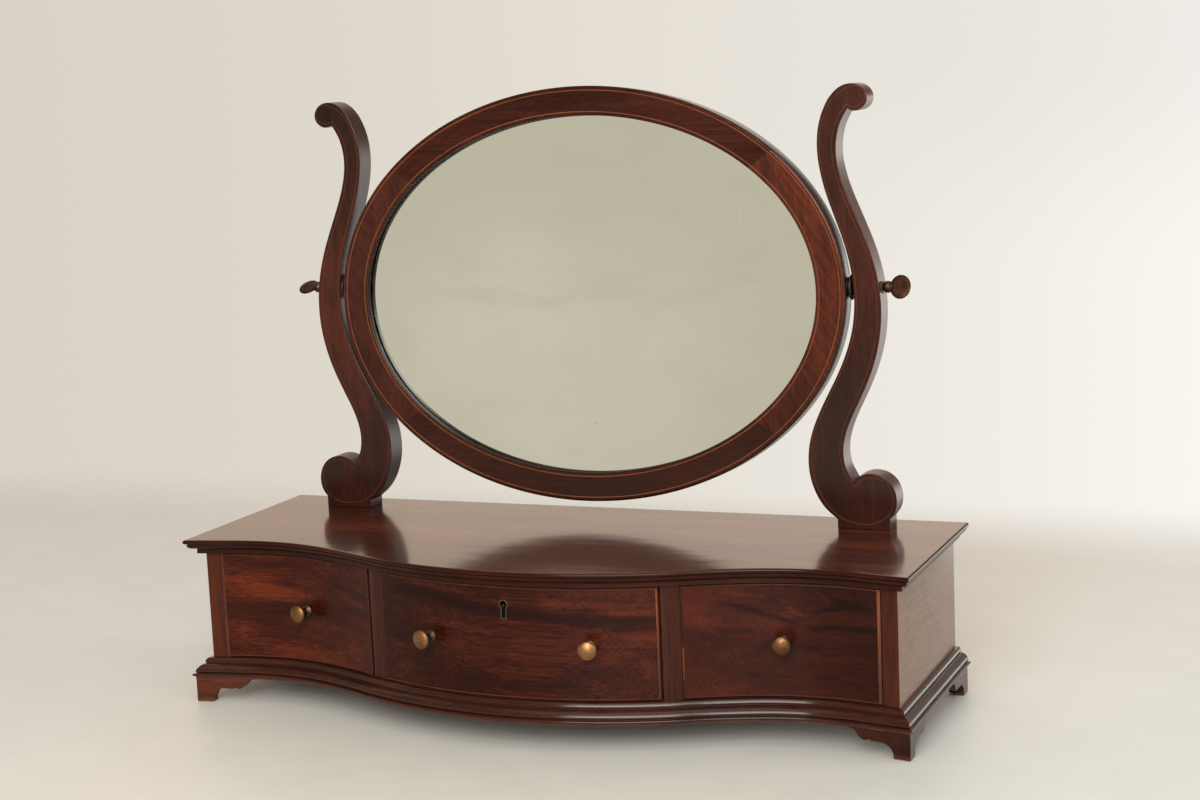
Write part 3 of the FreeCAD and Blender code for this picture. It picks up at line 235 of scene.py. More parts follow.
# ------------------------------------------------------------------- materials
class Nodes:
    def __init__(self, name):
        self.mat = bpy.data.materials.new(name)
        self.mat.use_nodes = True
        self.t = self.mat.node_tree
        self.t.nodes.clear()
        self.out = self.t.nodes.new("ShaderNodeOutputMaterial")
        self.bsdf = self.t.nodes.new("ShaderNodeBsdfPrincipled")
        self.t.links.new(self.bsdf.outputs[0], self.out.inputs[0])
        self.coord = self.t.nodes.new("ShaderNodeTexCoord").outputs["Object"]

    def put(self, sock, value):
        if isinstance(value, bpy.types.NodeSocket):
            self.t.links.new(value, sock)
        else:
            sock.default_value = value

    def set(self, **values):
        for k, v in values.items():
            self.put(self.bsdf.inputs[k.replace("_", " ")], v)

    def math(self, op, a, b=0.0, c=None, clamp=False):
        n = self.t.nodes.new("ShaderNodeMath")
        n.operation, n.use_clamp = op, clamp
        self.put(n.inputs[0], a)
        self.put(n.inputs[1], b)
        if c is not None:
            self.put(n.inputs[2], c)
        return n.outputs[0]

    def vmath(self, op, a, b=(0, 0, 0)):
        n = self.t.nodes.new("ShaderNodeVectorMath")
        n.operation = op
        self.put(n.inputs[0], a)
        self.put(n.inputs[1], b)
        return n.outputs["Value"] if op in ("DOT_PRODUCT", "LENGTH") else n.outputs[0]

    def turned(self, v, euler):
        n = self.t.nodes.new("ShaderNodeMapping")
        n.vector_type = "POINT"
        self.put(n.inputs["Vector"], v)
        n.inputs["Rotation"].default_value = euler
        return n.outputs[0]

    def split(self, v):
        n = self.t.nodes.new("ShaderNodeSeparateXYZ")
        self.put(n.inputs[0], v)
        return n.outputs

    def join(self, x, y, z):
        n = self.t.nodes.new("ShaderNodeCombineXYZ")
        for s, v in zip(n.inputs, (x, y, z)):
            self.put(s, v)
        return n.outputs[0]

    def noise(self, v, scale, detail=2.0, rough=0.5, distort=0.0):
        n = self.t.nodes.new("ShaderNodeTexNoise")
        if isinstance(scale, tuple):
            v = self.vmath("MULTIPLY", v, scale)
            scale = 1.0
        self.put(n.inputs["Vector"], v)
        n.inputs["Scale"].default_value = scale
        n.inputs["Detail"].default_value = detail
        n.inputs["Roughness"].default_value = rough
        n.inputs["Distortion"].default_value = distort
        return n.outputs["Fac"]

    def cells(self, v, scale):
        n = self.t.nodes.new("ShaderNodeTexVoronoi")
        v = self.vmath("MULTIPLY", v, scale)
        self.put(n.inputs["Vector"], v)
        n.inputs["Scale"].default_value = 1.0
        return n.outputs["Distance"]

    def ramp(self, f, stops):
        n = self.t.nodes.new("ShaderNodeValToRGB")
        self.put(n.inputs[0], f)
        e = n.color_ramp.elements
        while len(e) < len(stops):
            e.new(0.5)
        for el, (p, c) in zip(e, stops):
            el.position = p
            el.color = (c[0], c[1], c[2], 1.0)
        return n.outputs[0]

    def span(self, f, a, b, c=0.0, d=1.0, soft=True):
        n = self.t.nodes.new("ShaderNodeMapRange")
        n.interpolation_type = "SMOOTHSTEP" if soft else "LINEAR"
        self.put(n.inputs["Value"], f)
        for s, v in zip(("From Min", "From Max", "To Min", "To Max"), (a, b, c, d)):
            n.inputs[s].default_value = v
        return n.outputs[0]

    def mix(self, f, a, b, kind="MIX"):
        n = self.t.nodes.new("ShaderNodeMix")
        n.data_type, n.blend_type = "RGBA", kind
        ins = [s for s in n.inputs if s.type == "RGBA"]
        self.put(n.inputs[0], f)
        for s, v in zip(ins, (a, b)):
            self.put(s, v if isinstance(v, bpy.types.NodeSocket) else (v[0], v[1], v[2], 1.0))
        return [s for s in n.outputs if s.type == "RGBA"][0]

    def bump(self, h, distance, strength=1.0, normal=None):
        n = self.t.nodes.new("ShaderNodeBump")
        n.inputs["Strength"].default_value = strength
        n.inputs["Distance"].default_value = distance
        self.put(n.inputs["Height"], h)
        if normal is not None:
            self.put(n.inputs["Normal"], normal)
        return n.outputs[0]


AXIS = {"x": (0.0, 0.0, 0.0), "y": (0.0, 0.0, -math.pi / 2), "z": (0.0, math.pi / 2, 0.0)}


def wood(name, axis="x", dark=(0.016, 0.0046, 0.0028), mid=(0.052, 0.0135, 0.0068), light=(0.135, 0.036, 0.014), figure=1.0, wave=1.0,
         cloud=0.6, ribbon=0.0, seed=0.0, turn_by=None, rough=0.42, coat=1.0, coat_rough=0.12, coat_ior=1.20, lift=None, pores=0.45, waver=1.0, spec=0.02,
         bands=(), drift=(), red=(0.63, 0.405, 0.338), marks=False):
    """polished timber: grain along one axis of the object, figure, pores and a polish over it"""
    dark, mid, light = [tuple(a * b for a, b in zip(c, red)) for c in (dark, mid, light)]
    n = Nodes(name)
    v = n.turned(n.coord, turn_by if turn_by is not None else AXIS[axis])
    v = n.vmath("ADD", v, (seed * 1.37, seed * 2.11, seed * 0.73))
    a, c, d = n.split(v)
    w1 = n.math("SUBTRACT", n.noise(v, (2.3, 6.0, 6.0), 2.0), 0.5)
    w2 = n.math("SUBTRACT", n.noise(v, (9.0, 22.0, 22.0), 2.0), 0.5)
    shift = n.math("ADD", n.math("MULTIPLY", w1, 0.075 * wave), n.math("MULTIPLY", w2, 0.013 * wave))
    cw = n.math("ADD", c, shift)
    p = n.join(a, cw, d)
    broad = n.noise(p, (2.0, 30.0, 30.0), 3.0, 0.55)
    lines = n.noise(p, (5.0, 150.0, 150.0), 3.0, 0.6)
    fibre = n.noise(p, (26.0, 900.0, 900.0), 2.0, 0.6)
    blotch = n.noise(v, (8.0, 12.0, 12.0), 2.0, 0.5)
    total = n.math("MULTIPLY_ADD", broad, 1.25 * figure, 0.5 - 0.625 * figure)
    total = n.math("MULTIPLY_ADD", n.math("SUBTRACT", lines, 0.5), 0.10 + 0.45 * figure, total)
    total = n.math("MULTIPLY_ADD", n.math("SUBTRACT", fibre, 0.5), 0.55, total)
    total = n.math("MULTIPLY_ADD", n.math("SUBTRACT", blotch, 0.5), cloud, total)
    if ribbon:
        rib = n.noise(n.turned(p, (0.0, 0.62, 0.0)), (26.0, 90.0, 330.0), 2.0, 0.55)
        total = n.math("MULTIPLY_ADD", n.math("SUBTRACT", rib, 0.5), ribbon, total)
    for dax, d0, d1, amount in drift:
        # (axis, from, to, amount): the whole board grows lighter or darker that way
        total = n.math("ADD", total, n.span(n.split(n.coord)["XYZ".index(dax)], d0, d1, 0.0, amount, soft=False))
    if bands:
        # single streaks of figure: (from x, to x, height, slope, bend, half thickness, amount, fade), in millimetres
        bx, by, bz = n.split(n.coord)
        roam = n.math("SUBTRACT", n.noise(n.coord, (8.0, 8.0, 24.0), 2.0, 0.45), 0.5)
        bz = n.math("MULTIPLY_ADD", roam, 0.008, bz)
        bx = n.math("MULTIPLY_ADD", n.math("SUBTRACT", n.noise(n.coord, (10.0, 10.0, 160.0), 2.0, 0.6), 0.5), 0.034, bx)
        for x0, x1, zc_, slope, bend, half, amount, fade in bands:
            u = n.math("SUBTRACT", bx, (x0 + x1) / 2 * MM)
            line = n.math("MULTIPLY_ADD", n.math("MULTIPLY", u, u), bend / MM, n.math("MULTIPLY_ADD", u, slope, zc_ * MM))
            off = n.math("ABSOLUTE", n.math("SUBTRACT", bz, line))
            f = n.math("MULTIPLY", n.span(off, 0.0, half * 1.25 * MM, 1.0, 0.0),
                       n.math("MULTIPLY", n.span(bx, x0 * MM, (x0 + fade) * MM), n.span(bx, (x1 - fade) * MM, x1 * MM, 1.0, 0.0)))
            total = n.math("MULTIPLY_ADD", f, amount, total)
    col = n.ramp(total, [(0.22, dark), (0.5, mid), (0.82, light)])
    dash = n.span(n.noise(p, (90.0, 2300.0, 2300.0), 1.0, 0.5), 0.6, 0.74, 0.0, pores)
    col = n.mix(dash, col, [x * 0.35 for x in dark])
    if lift is not None:
        # (axis, from, to, colour, share): bare or worn towards one side
        ax, f0, f1, colour, share = lift
        s = n.split(n.coord)["XYZ".index(ax)]
        worn = n.noise(n.coord, (60.0, 60.0, 60.0), 3.0, 0.6)
        worn = n.span(worn, 0.35, 0.65, 0.35, 1.0)
        f = n.math("MULTIPLY", n.span(s, f0, f1, 0.0, share), worn)
        tinted = n.mix(n.math("MULTIPLY_ADD", fibre, 0.6, 0.2), [x * 0.6 for x in colour], colour)
        col = n.mix(f, col, tinted)
    dull = None
    if marks:
        # a glass's ring and a few dark flecks left on the polish by use, which also raise its bump a little
        mx, my, mz = n.split(n.coord)
        ux, uy = n.math("ADD", mx, 0.118), n.math("ADD", my, 0.012)
        rr = n.math("SQRT", n.math("ADD", n.math("MULTIPLY", ux, ux), n.math("MULTIPLY", uy, uy)))
        ring = n.span(n.math("ABSOLUTE", n.math("SUBTRACT", rr, 0.0270)), 0.0004, 0.0016, 1.0, 0.0)
        ring = n.math("MULTIPLY", ring, n.span(n.noise(n.coord, (40.0, 40.0, 40.0), 2.0, 0.5), 0.47, 0.62, 0.0, 0.34))
        col = n.mix(ring, col, (0.16, 0.045, 0.030))
        near = n.math("MULTIPLY", n.span(mx, 0.06, 0.12), n.math("MULTIPLY", n.span(mx, 0.19, 0.24, 1.0, 0.0), n.span(my, -0.06, -0.02)))
        fleck = n.math("MULTIPLY", n.span(n.noise(n.coord, (150.0, 260.0, 200.0), 2.0, 0.6), 0.66, 0.70, 0.0, 0.85), near)
        col = n.mix(fleck, col, (0.006, 0.003, 0.002))
        dull = n.math("ADD", n.math("MULTIPLY", fleck, 0.5), n.math("MULTIPLY", ring, 0.25))
    r = n.math("MULTIPLY_ADD", lines, 0.16, rough - 0.08)
    h = n.math("ADD", n.math("MULTIPLY", fibre, 0.4), n.math("MULTIPLY", dash, -1.0))
    if dull is not None:
        h = n.math("ADD", h, n.math("MULTIPLY", dull, 2.0))
    skin = n.bump(h, 0.00004, 0.7)
    sway = n.bump(n.noise(v, (14.0, 34.0, 34.0), 2.0, 0.5), 0.00016 * waver, 1.0)
    sway = n.bump(h, 0.000012, 0.6, sway)
    n.set(Base_Color=col, Roughness=r, Normal=skin, Specular_IOR_Level=spec, Coat_Weight=coat, Coat_Roughness=coat_rough, Coat_IOR=coat_ior, Coat_Normal=sway)
    return n.mat


def plain_wood(name, axis, dark, light, scale=1.0, rough=0.72, seed=0.0, stain=0.5, stain_col=(0.10, 0.06, 0.03), rings=0.0, fade=None, spec=0.25):
    """unpolished deal or lining timber with its year rings, dust and handling marks"""
    n = Nodes(name)
    v = n.turned(n.coord, AXIS[axis])
    v = n.vmath("ADD", v, (seed * 1.9, seed * 0.7, seed * 1.3))
    a, c, d = n.split(v)
    w = n.math("SUBTRACT", n.noise(v, (2.0, 5.0, 5.0), 2.0), 0.5)
    cw = n.math("MULTIPLY_ADD", w, 0.05, c)
    p = n.join(a, cw, d)
    if rings:
        wave = n.t.nodes.new("ShaderNodeTexWave")
        wave.wave_type, wave.bands_direction = "BANDS", "Y"
        n.put(wave.inputs["Vector"], p)
        wave.inputs["Scale"].default_value = rings
        wave.inputs["Distortion"].default_value = 2.2
        wave.inputs["Detail"].default_value = 2.0
        wave.inputs["Detail Scale"].default_value = 1.4
        base = n.math("POWER", wave.outputs["Fac"], 2.2)
    else:
        base = n.noise(p, (3.0 * scale, 60.0 * scale, 60.0 * scale), 3.0, 0.6)
    fine = n.noise(p, (20.0, 700.0, 700.0), 2.0, 0.6)
    f = n.math("ADD", n.math("MULTIPLY", base, 0.7), n.math("MULTIPLY", fine, 0.4))
    col = n.ramp(f, [(0.2, light), (0.75, dark)])
    dirt = n.span(n.noise(n.coord, (9.0, 9.0, 9.0), 4.0, 0.6), 0.42, 0.72, 0.0, stain)
    col = n.mix(dirt, col, stain_col)
    marks = n.span(n.noise(n.coord, (70.0, 22.0, 70.0), 3.0, 0.6), 0.66, 0.72, 0.0, 0.5)
    col = n.mix(marks, col, [x * 0.5 for x in stain_col])
    if fade is not None:
        # (axis, from, to, colour): the colour shifts to this one towards one end
        ax, f0, f1, colour = fade
        col = n.mix(n.math("MULTIPLY", n.span(n.split(n.coord)["XYZ".index(ax)], f0, f1), n.math("MULTIPLY_ADD", fine, 0.4, 0.6)), col, colour)
    h = n.math("ADD", n.math("MULTIPLY", fine, 0.6), n.math("MULTIPLY", base, 0.5))
    n.set(Base_Color=col, Roughness=n.math("MULTIPLY_ADD", fine, 0.2, rough - 0.1), Normal=n.bump(h, 0.00012, 0.8), Specular_IOR_Level=spec)
    return n.mat


def metal(name, colour, dull, rough=0.3, spot=60.0, tarnish=0.5, bump=0.00002, brushed=None, fleck=None):
    n = Nodes(name)
    t = n.noise(n.coord, (spot, spot, spot), 4.0, 0.62)
    u = n.noise(n.coord, (spot * 6, spot * 6, spot * 6), 3.0, 0.6)
    f = n.math("ADD", n.math("MULTIPLY", t, 0.75), n.math("MULTIPLY", u, 0.25))
    f = n.span(f, 0.4, 0.62, 0.0, tarnish)
    col = n.mix(f, colour, dull)
    if fleck is not None:
        col = n.mix(n.span(u, 0.62, 0.7, 0.0, 0.6), col, fleck)
    r = n.math("MULTIPLY_ADD", f, 0.28, rough)
    h = u
    if brushed is not None:
        s = n.noise(n.coord, brushed, 2.0, 0.6)
        h = n.math("ADD", u, s)
        r = n.math("MULTIPLY_ADD", s, 0.12, r)
    n.set(Base_Color=col, Metallic=1.0, Roughness=r, Normal=n.bump(h, bump, 0.8))
    return n.mat


LEAN_T = math.radians(3.31)

M_TOP = wood("mahogany_top", "x", dark=(0.012, 0.0042, 0.0028), mid=(0.042, 0.0130, 0.0080), light=(0.105, 0.032, 0.0160), figure=0.75, wave=0.5, cloud=0.45,
             seed=3.1, coat_rough=0.13, coat_ior=1.34, waver=1.5, red=(1.0, 0.72, 0.64), marks=True)
M_EDGE = wood("mahogany_moulding", "x", dark=(0.013, 0.0038, 0.0018), mid=(0.037, 0.0100, 0.0045), light=(0.075, 0.021, 0.0085), figure=0.5, wave=0.3,
              cloud=0.3, seed=7.7, coat_rough=0.14, coat_ior=1.25, spec=0.0)
M_BASE = wood("mahogany_base", "x", dark=(0.013, 0.0044, 0.0026), mid=(0.034, 0.0118, 0.0070), light=(0.075, 0.024, 0.0125), figure=0.5, wave=0.3,
              cloud=0.3, seed=11.3, coat_rough=0.13, coat_ior=1.39, spec=0.0, red=(0.69, 0.50, 0.45), drift=(("X", -0.10, -0.33, 0.09),), lift=("Z", 0.0262, 0.0240, (0.13, 0.033, 0.016), 0.6))
# painted sheen: the side mouldings are lighter and greyer than the front one, standing in for the bright wall they
# reflect
M_BASE_SIDE_PAINTED_SHEEN = wood("mahogany_base_side_painted_sheen", "y", dark=(0.025, 0.013, 0.010), mid=(0.050, 0.030, 0.024), light=(0.09, 0.057, 0.045), figure=0.4, wave=0.3,
                   cloud=0.3, seed=12.9, coat_rough=0.17, coat_ior=1.55, spec=0.0, red=(1.0, 1.0, 1.0), lift=("Z", 0.0262, 0.0240, (0.13, 0.033, 0.016), 0.6))
M_FOOT = wood("mahogany_foot", "x", dark=(0.020, 0.0066, 0.0042), mid=(0.056, 0.0178, 0.0105), light=(0.13, 0.040, 0.020), figure=0.6, wave=0.5,
              cloud=0.4, seed=14.2, coat_rough=0.22, red=(0.80, 0.69, 0.64), lift=("Z", 0.005, 0.0, (0.17, 0.052, 0.024), 0.7), drift=(("X", -0.25, -0.34, 0.24), ("X", 0.25, 0.34, -0.14)))
M_FOOT_SIDE = wood("mahogany_foot_side", "y", dark=(0.020, 0.0062, 0.0038), mid=(0.050, 0.0150, 0.0088), light=(0.12, 0.034, 0.015), figure=0.6, wave=0.5,
                   cloud=0.4, seed=15.8, coat_rough=0.22, coat_ior=1.36, lift=("Z", 0.005, 0.0, (0.17, 0.052, 0.024), 0.7))
# painted sheen: the side panels' pale, greyed colour stands in for the glare of light on their polish at a grazing
# angle
M_SIDE_PAINTED_SHEEN = wood("mahogany_side_painted_sheen", "y", dark=(0.070, 0.034, 0.022), mid=(0.175, 0.103, 0.072), light=(0.26, 0.155, 0.110), figure=0.14, wave=0.5,
              cloud=0.15, waver=0.4, seed=18.4, coat_rough=0.26, coat_ior=1.62, red=(1.0, 1.0, 1.0), pores=0.5)
# painted shade: the side faces of the left upright are darkened, standing in for the dark back of the frame that they
# reflect
M_UP_SIDE_PAINTED_SHADE = wood("mahogany_upright_side_painted_shade", "z", dark=(0.020, 0.0080, 0.0060), mid=(0.060, 0.0250, 0.0180), light=(0.120, 0.052, 0.036), figure=0.40, wave=0.5,
                 cloud=0.35, seed=44.4, coat_rough=0.34, coat_ior=1.28, spec=0.0, red=(1.0, 0.9, 0.9), drift=(("X", 0.0, -0.1, -0.25),))
# painted shade: the frame's outer rim is near black all round, standing in for the dark uprights it reflects
M_RIM_PAINTED_SHADE = wood("frame_rim_painted_shade", "x", dark=(0.0060, 0.0060, 0.0046), mid=(0.0140, 0.0130, 0.0100), light=(0.034, 0.028, 0.020), figure=0.5, wave=0.4,
             cloud=0.4, seed=76.2, coat_rough=0.22, coat_ior=1.20, spec=0.0, red=(1.0, 1.0, 1.0))
M_STRIP = wood("mahogany_strip", "z", dark=(0.018, 0.0060, 0.0038), mid=(0.060, 0.0185, 0.0104), light=(0.12, 0.036, 0.0175), figure=0.5, wave=0.3,
               cloud=0.3, seed=21.0, coat_ior=1.24, spec=0.0, red=(0.72, 0.51, 0.44), drift=(("X", -0.20, -0.33, 0.07), ("X", 0.0, 0.12, -0.07), ("X", 0.20, 0.33, 0.11)))
LEFT_BANDS = ((-330, -256, 118.0, 0.0, 0.0, 9.0, 0.12, 34), (-332, -222, 106.0, -0.02, 0.0, 15.0, 0.24, 60), (-280, -200, 108.0, -0.04, 0.0, 5.0, 0.10, 34),
              (-306, -222, 115.5, -0.03, 0.0, 3.2, -0.08, 26), (-322, -282, 70.0, 0.0, 0.0, 9.0, 0.13, 20), (-318, -168, 90.0, -0.02, 0.0, 8.0, -0.12, 50),
              (-300, -180, 50.5, -0.03, 0.0, 8.0, 0.10, 40), (-330, -206, 133.5, -0.02, 0.0, 8.0, -0.14, 40), (-206, -148, 117.5, -0.24, 0.0, 5.0, -0.13, 18),
              (-200, -148, 109.0, -0.22, 0.0, 3.5, 0.10, 18), (-196, -148, 99.0, -0.18, 0.0, 4.0, -0.11, 16), (-190, -148, 88.0, -0.1, 0.0, 3.0, 0.08, 16),
              (-300, -180, 62.0, -0.01, 0.0, 3.0, -0.06, 30), (-260, -160, 78.0, -0.03, 0.0, 3.0, 0.06, 30), (-330, -150, 50.0, 0.0, 0.0, 16.0, 0.13, 30))
MID_BANDS = ((-130, 150, 117.5, -0.085, 0.00032, 7.0, -0.24, 34), (16, 124, 127.5, -0.02, 0.0, 4.0, 0.13, 36), (80, 146, 119.5, -0.06, 0.0, 4.0, 0.18, 24),
             (92, 146, 98.0, -0.03, 0.0, 4.0, 0.14, 24), (104, 146, 70.0, 0.0, 0.0, 12.0, 0.12, 20), (86, 142, 105.0, -0.03, 0.0, 3.0, -0.12, 16),
             (50, 136, 88.0, -0.02, 0.0, 2.8, -0.08, 24), (-136, -20, 136.0, -0.06, 0.0, 3.0, 0.10, 30), (-120, 30, 103.0, -0.07, 0.0003, 4.0, 0.07, 40),
             (-134, -40, 84.0, -0.05, 0.0, 4.0, -0.06, 30), (-110, 60, 66.0, -0.02, 0.0002, 3.5, 0.05, 40), (-60, 90, 55.0, 0.0, 0.0, 3.0, -0.06, 40))
RIGHT_BANDS = ((178, 256, 116.0, -0.28, -0.0022, 3.8, -0.26, 18), (248, 330, 104.0, 0.03, 0.0, 3.8, -0.26, 14), (256, 300, 121.5, 0.30, 0.0, 3.8, -0.20, 12),
               (176, 213, 100.0, 0.0, 0.0, 3.2, -0.17, 11), (208, 230, 87.5, 0.0, 0.0, 3.8, -0.17, 9), (242, 272, 86.0, 0.0, 0.0, 3.2, -0.15, 10),
               (194, 240, 61.5, -0.04, 0.0, 3.2, -0.12, 14), (256, 288, 60.0, 0.0, 0.0, 3.2, -0.16, 10), (186, 226, 131.0, -0.15, 0.0, 2.6, 0.15, 12),
               (222, 260, 120.5, -0.50, 0.0, 3.0, 0.17, 12), (262, 280, 130.0, -1.1, 0.0, 4.0, 0.14, 6), (146, 190, 108.0, 0.0, 0.0, 8.0, 0.09, 14),
               (170, 320, 75.0, 0.02, 0.0, 4.0, 0.05, 30), (270, 322, 126.0, -0.1, 0.0, 6.0, -0.10, 14), (214, 236, 126.0, -0.45, 0.0, 2.0, -0.10, 8))
M_DR_LEFT = wood("mahogany_drawer_left", "x", dark=(0.018, 0.0052, 0.0030), mid=(0.055, 0.0150, 0.0084), light=(0.200, 0.052, 0.0175), figure=0.40, wave=0.5,
                 cloud=0.20, seed=25.6, coat_rough=0.19, bands=LEFT_BANDS, drift=(("X", -0.321, -0.151, -0.05),))
M_DR_MID = wood("mahogany_drawer_center", "x", dark=(0.015, 0.0046, 0.0030), mid=(0.0285, 0.0076, 0.0048), light=(0.128, 0.036, 0.0160), figure=0.37, wave=0.5,
                cloud=0.20, seed=31.2, coat_rough=0.19, bands=MID_BANDS, drift=(("X", -0.02, 0.134, 0.12),))
M_DR_RIGHT = wood("mahogany_drawer_right", "x", dark=(0.014, 0.0046, 0.0032), mid=(0.050, 0.0140, 0.0086), light=(0.125, 0.035, 0.0150), figure=0.42, wave=0.7,
                  cloud=0.20, seed=37.9, coat_rough=0.19, bands=RIGHT_BANDS, drift=(("X", 0.225, 0.31, -0.14), ("X", 0.20, 0.151, 0.05)))
M_UP_L = wood("mahogany_upright_left", "z", dark=(0.015, 0.0056, 0.0040), mid=(0.042, 0.0150, 0.0105), light=(0.115, 0.036, 0.0200), figure=0.50, wave=0.6,
              cloud=0.40, ribbon=0.20, seed=41.5, coat_rough=0.15, coat_ior=1.31, drift=(("Z", 0.24, 0.34, 0.26), ("Z", 0.40, 0.50, -0.38)))
M_UP_R = wood("mahogany_upright_right", "z", dark=(0.013, 0.0052, 0.0040), mid=(0.038, 0.0135, 0.0098), light=(0.100, 0.032, 0.0185), figure=0.50, wave=0.6,
              cloud=0.40, ribbon=0.20, seed=47.3, coat_rough=0.15, coat_ior=1.31, drift=(("Z", 0.26, 0.36, 0.07),))
M_FR_TOP = wood("mahogany_frame_top", "x", dark=(0.016, 0.0056, 0.0038), mid=(0.048, 0.0160, 0.0105), light=(0.110, 0.034, 0.0180), figure=0.45, wave=0.4,
                cloud=0.25, ribbon=0.24, seed=52.1, coat_rough=0.14, coat_ior=1.16, red=(0.68, 0.49, 0.43))
M_FR_LOW = wood("mahogany_frame_bottom", "x", dark=(0.013, 0.0046, 0.0032), mid=(0.038, 0.0122, 0.0082), light=(0.090, 0.028, 0.0150), figure=0.45, wave=0.4,
                cloud=0.25, ribbon=0.20, seed=57.7, coat_rough=0.12, coat_ior=1.28)
M_FR_RIGHT = wood("mahogany_frame_right", "z", dark=(0.022, 0.0075, 0.0050), mid=(0.066, 0.0215, 0.0130), light=(0.150, 0.046, 0.0220), figure=0.40, wave=0.4,
                  cloud=0.25, ribbon=0.56, seed=61.9, coat_rough=0.12, coat_ior=1.24, red=(0.70, 0.45, 0.38), drift=(("Z", 0.36, 0.50, 0.10), ("Z", 0.36, 0.22, -0.10)))
M_FR_LEFT = wood("mahogany_frame_left", "z", dark=(0.022, 0.0075, 0.0050), mid=(0.064, 0.0205, 0.0125), light=(0.150, 0.046, 0.0220), figure=0.40, wave=0.4,
                 cloud=0.25, ribbon=0.46, seed=66.3, coat_rough=0.12, coat_ior=1.28)

M_STRING = plain_wood("string_line", "x", (0.105, 0.030, 0.0105), (0.215, 0.070, 0.025), seed=2.0, rough=0.45, stain=0.6, stain_col=(0.085, 0.024, 0.010), spec=0.06)
M_COCK = plain_wood("string_edge", "x", (0.056, 0.0155, 0.0085), (0.125, 0.041, 0.022), seed=5.0, rough=0.45, stain=0.6, stain_col=(0.05, 0.011, 0.005), spec=0.06)
M_LINE = plain_wood("string_line_upright", "z", (0.058, 0.0165, 0.0068), (0.120, 0.036, 0.0145), seed=2.6, rough=0.45, stain=0.7, stain_col=(0.05, 0.015, 0.007), spec=0.06)
M_COCK_R = plain_wood("string_edge_light", "z", (0.112, 0.032, 0.016), (0.225, 0.072, 0.035), seed=9.0, rough=0.5, stain=0.35, stain_col=(0.12, 0.030, 0.013), fade=("Z", 0.125, 0.06, (0.058, 0.0225, 0.0165)), spec=0.10)
M_DEAL = plain_wood("deal", "x", (0.26, 0.145, 0.064), (0.46, 0.31, 0.16), rings=16.0, seed=1.0, stain=0.28, stain_col=(0.16, 0.10, 0.05))
M_DEAL_Z = plain_wood("deal_block", "z", (0.30, 0.17, 0.075), (0.46, 0.31, 0.16), rings=40.0, seed=3.0, stain=0.6, stain_col=(0.14, 0.085, 0.04))
# painted shade: the glue blocks behind the feet are dark where plain deal would be pale, standing in for the shade
# behind the brackets
M_BLOCK_PAINTED_SHADE = plain_wood("block_painted_shade", "z", (0.045, 0.016, 0.008), (0.085, 0.034, 0.016), rings=40.0, seed=13.0, stain=0.6, stain_col=(0.03, 0.012, 0.007))
M_LINING = plain_wood("lining", "y", (0.27, 0.155, 0.07), (0.42, 0.27, 0.14), scale=1.3, seed=4.0, stain=0.35, stain_col=(0.17, 0.10, 0.05))
M_LINING_X = plain_wood("lining_across", "x", (0.27, 0.155, 0.07), (0.42, 0.27, 0.14), scale=1.3, seed=6.0, stain=0.35, stain_col=(0.17, 0.10, 0.05))
M_BACKING = plain_wood("backing", "x", (0.125, 0.060, 0.026), (0.27, 0.145, 0.066), rings=14.0, seed=8.0, stain=0.28, stain_col=(0.07, 0.035, 0.018))

# painted shade: both deals are dark where plain deal would be pale, standing in for the shade in the gaps under and
# beside the drawers; on the drawer fronts' ends the dark is partly a stain
M_CARCASE_PAINTED_SHADE = plain_wood("deal_painted_shade", "x", (0.040, 0.016, 0.008), (0.075, 0.033, 0.016), rings=16.0, seed=1.7, stain=0.5, stain_col=(0.020, 0.009, 0.005))
M_CARCASE_Z_STAIN_AND_SHADE = plain_wood("deal_upright_stain_and_painted_shade", "z", (0.040, 0.014, 0.007), (0.070, 0.026, 0.013), rings=16.0, seed=2.3, stain=0.5, stain_col=(0.020, 0.008, 0.005))


def lost_line():
    """bed of a lost edge string, with one short length of the line still in place"""
    n = Nodes("string_edge_lost")
    f = n.noise(n.coord, (300.0, 300.0, 40.0), 3.0, 0.6)
    bed = n.ramp(f, [(0.35, (0.014, 0.0042, 0.0030)), (0.65, (0.036, 0.0105, 0.0065))])
    left = n.ramp(f, [(0.35, (0.075, 0.021, 0.010)), (0.65, (0.158, 0.048, 0.021))])
    z = n.math("MULTIPLY_ADD", n.math("SUBTRACT", f, 0.5), 0.004, n.split(n.coord)["Z"])
    there = n.math("MULTIPLY", n.span(z, 0.0575, 0.0590), n.span(z, 0.0865, 0.0885, 1.0, 0.0))
    n.set(Base_Color=n.mix(there, bed, left), Roughness=n.math("MULTIPLY_ADD", f, 0.2, 0.5), Specular_IOR_Level=0.15, Normal=n.bump(f, 0.00008, 0.8))
    return n.mat


M_COCK_GAP = lost_line()
M_COCK_DULL = plain_wood("string_edge_dull", "z", (0.030, 0.0125, 0.0098), (0.072, 0.034, 0.027), seed=6.0, rough=0.5, stain=0.5, stain_col=(0.022, 0.008, 0.006), spec=0.06)
# painted shade: the left and right knobs are darker copies of the brass, to tone down how the lights catch them
M_BRASS_L_PAINTED_SHADE = metal("brass_knob_left_painted_shade", (0.265, 0.132, 0.058), (0.115, 0.053, 0.0265), rough=0.30, spot=60.0, tarnish=0.8, bump=0.000003, fleck=(0.11, 0.052, 0.028))
M_BRASS_R_PAINTED_SHADE = metal("brass_knob_right_painted_shade", (0.165, 0.082, 0.039), (0.082, 0.037, 0.019), rough=0.33, spot=75.0, tarnish=0.8, bump=0.000003, fleck=(0.10, 0.048, 0.027))
M_BRASS = metal("brass_knob", (0.30, 0.153, 0.066), (0.125, 0.055, 0.0265), rough=0.37, spot=70.0, tarnish=0.75, bump=0.000003, fleck=(0.12, 0.058, 0.030))
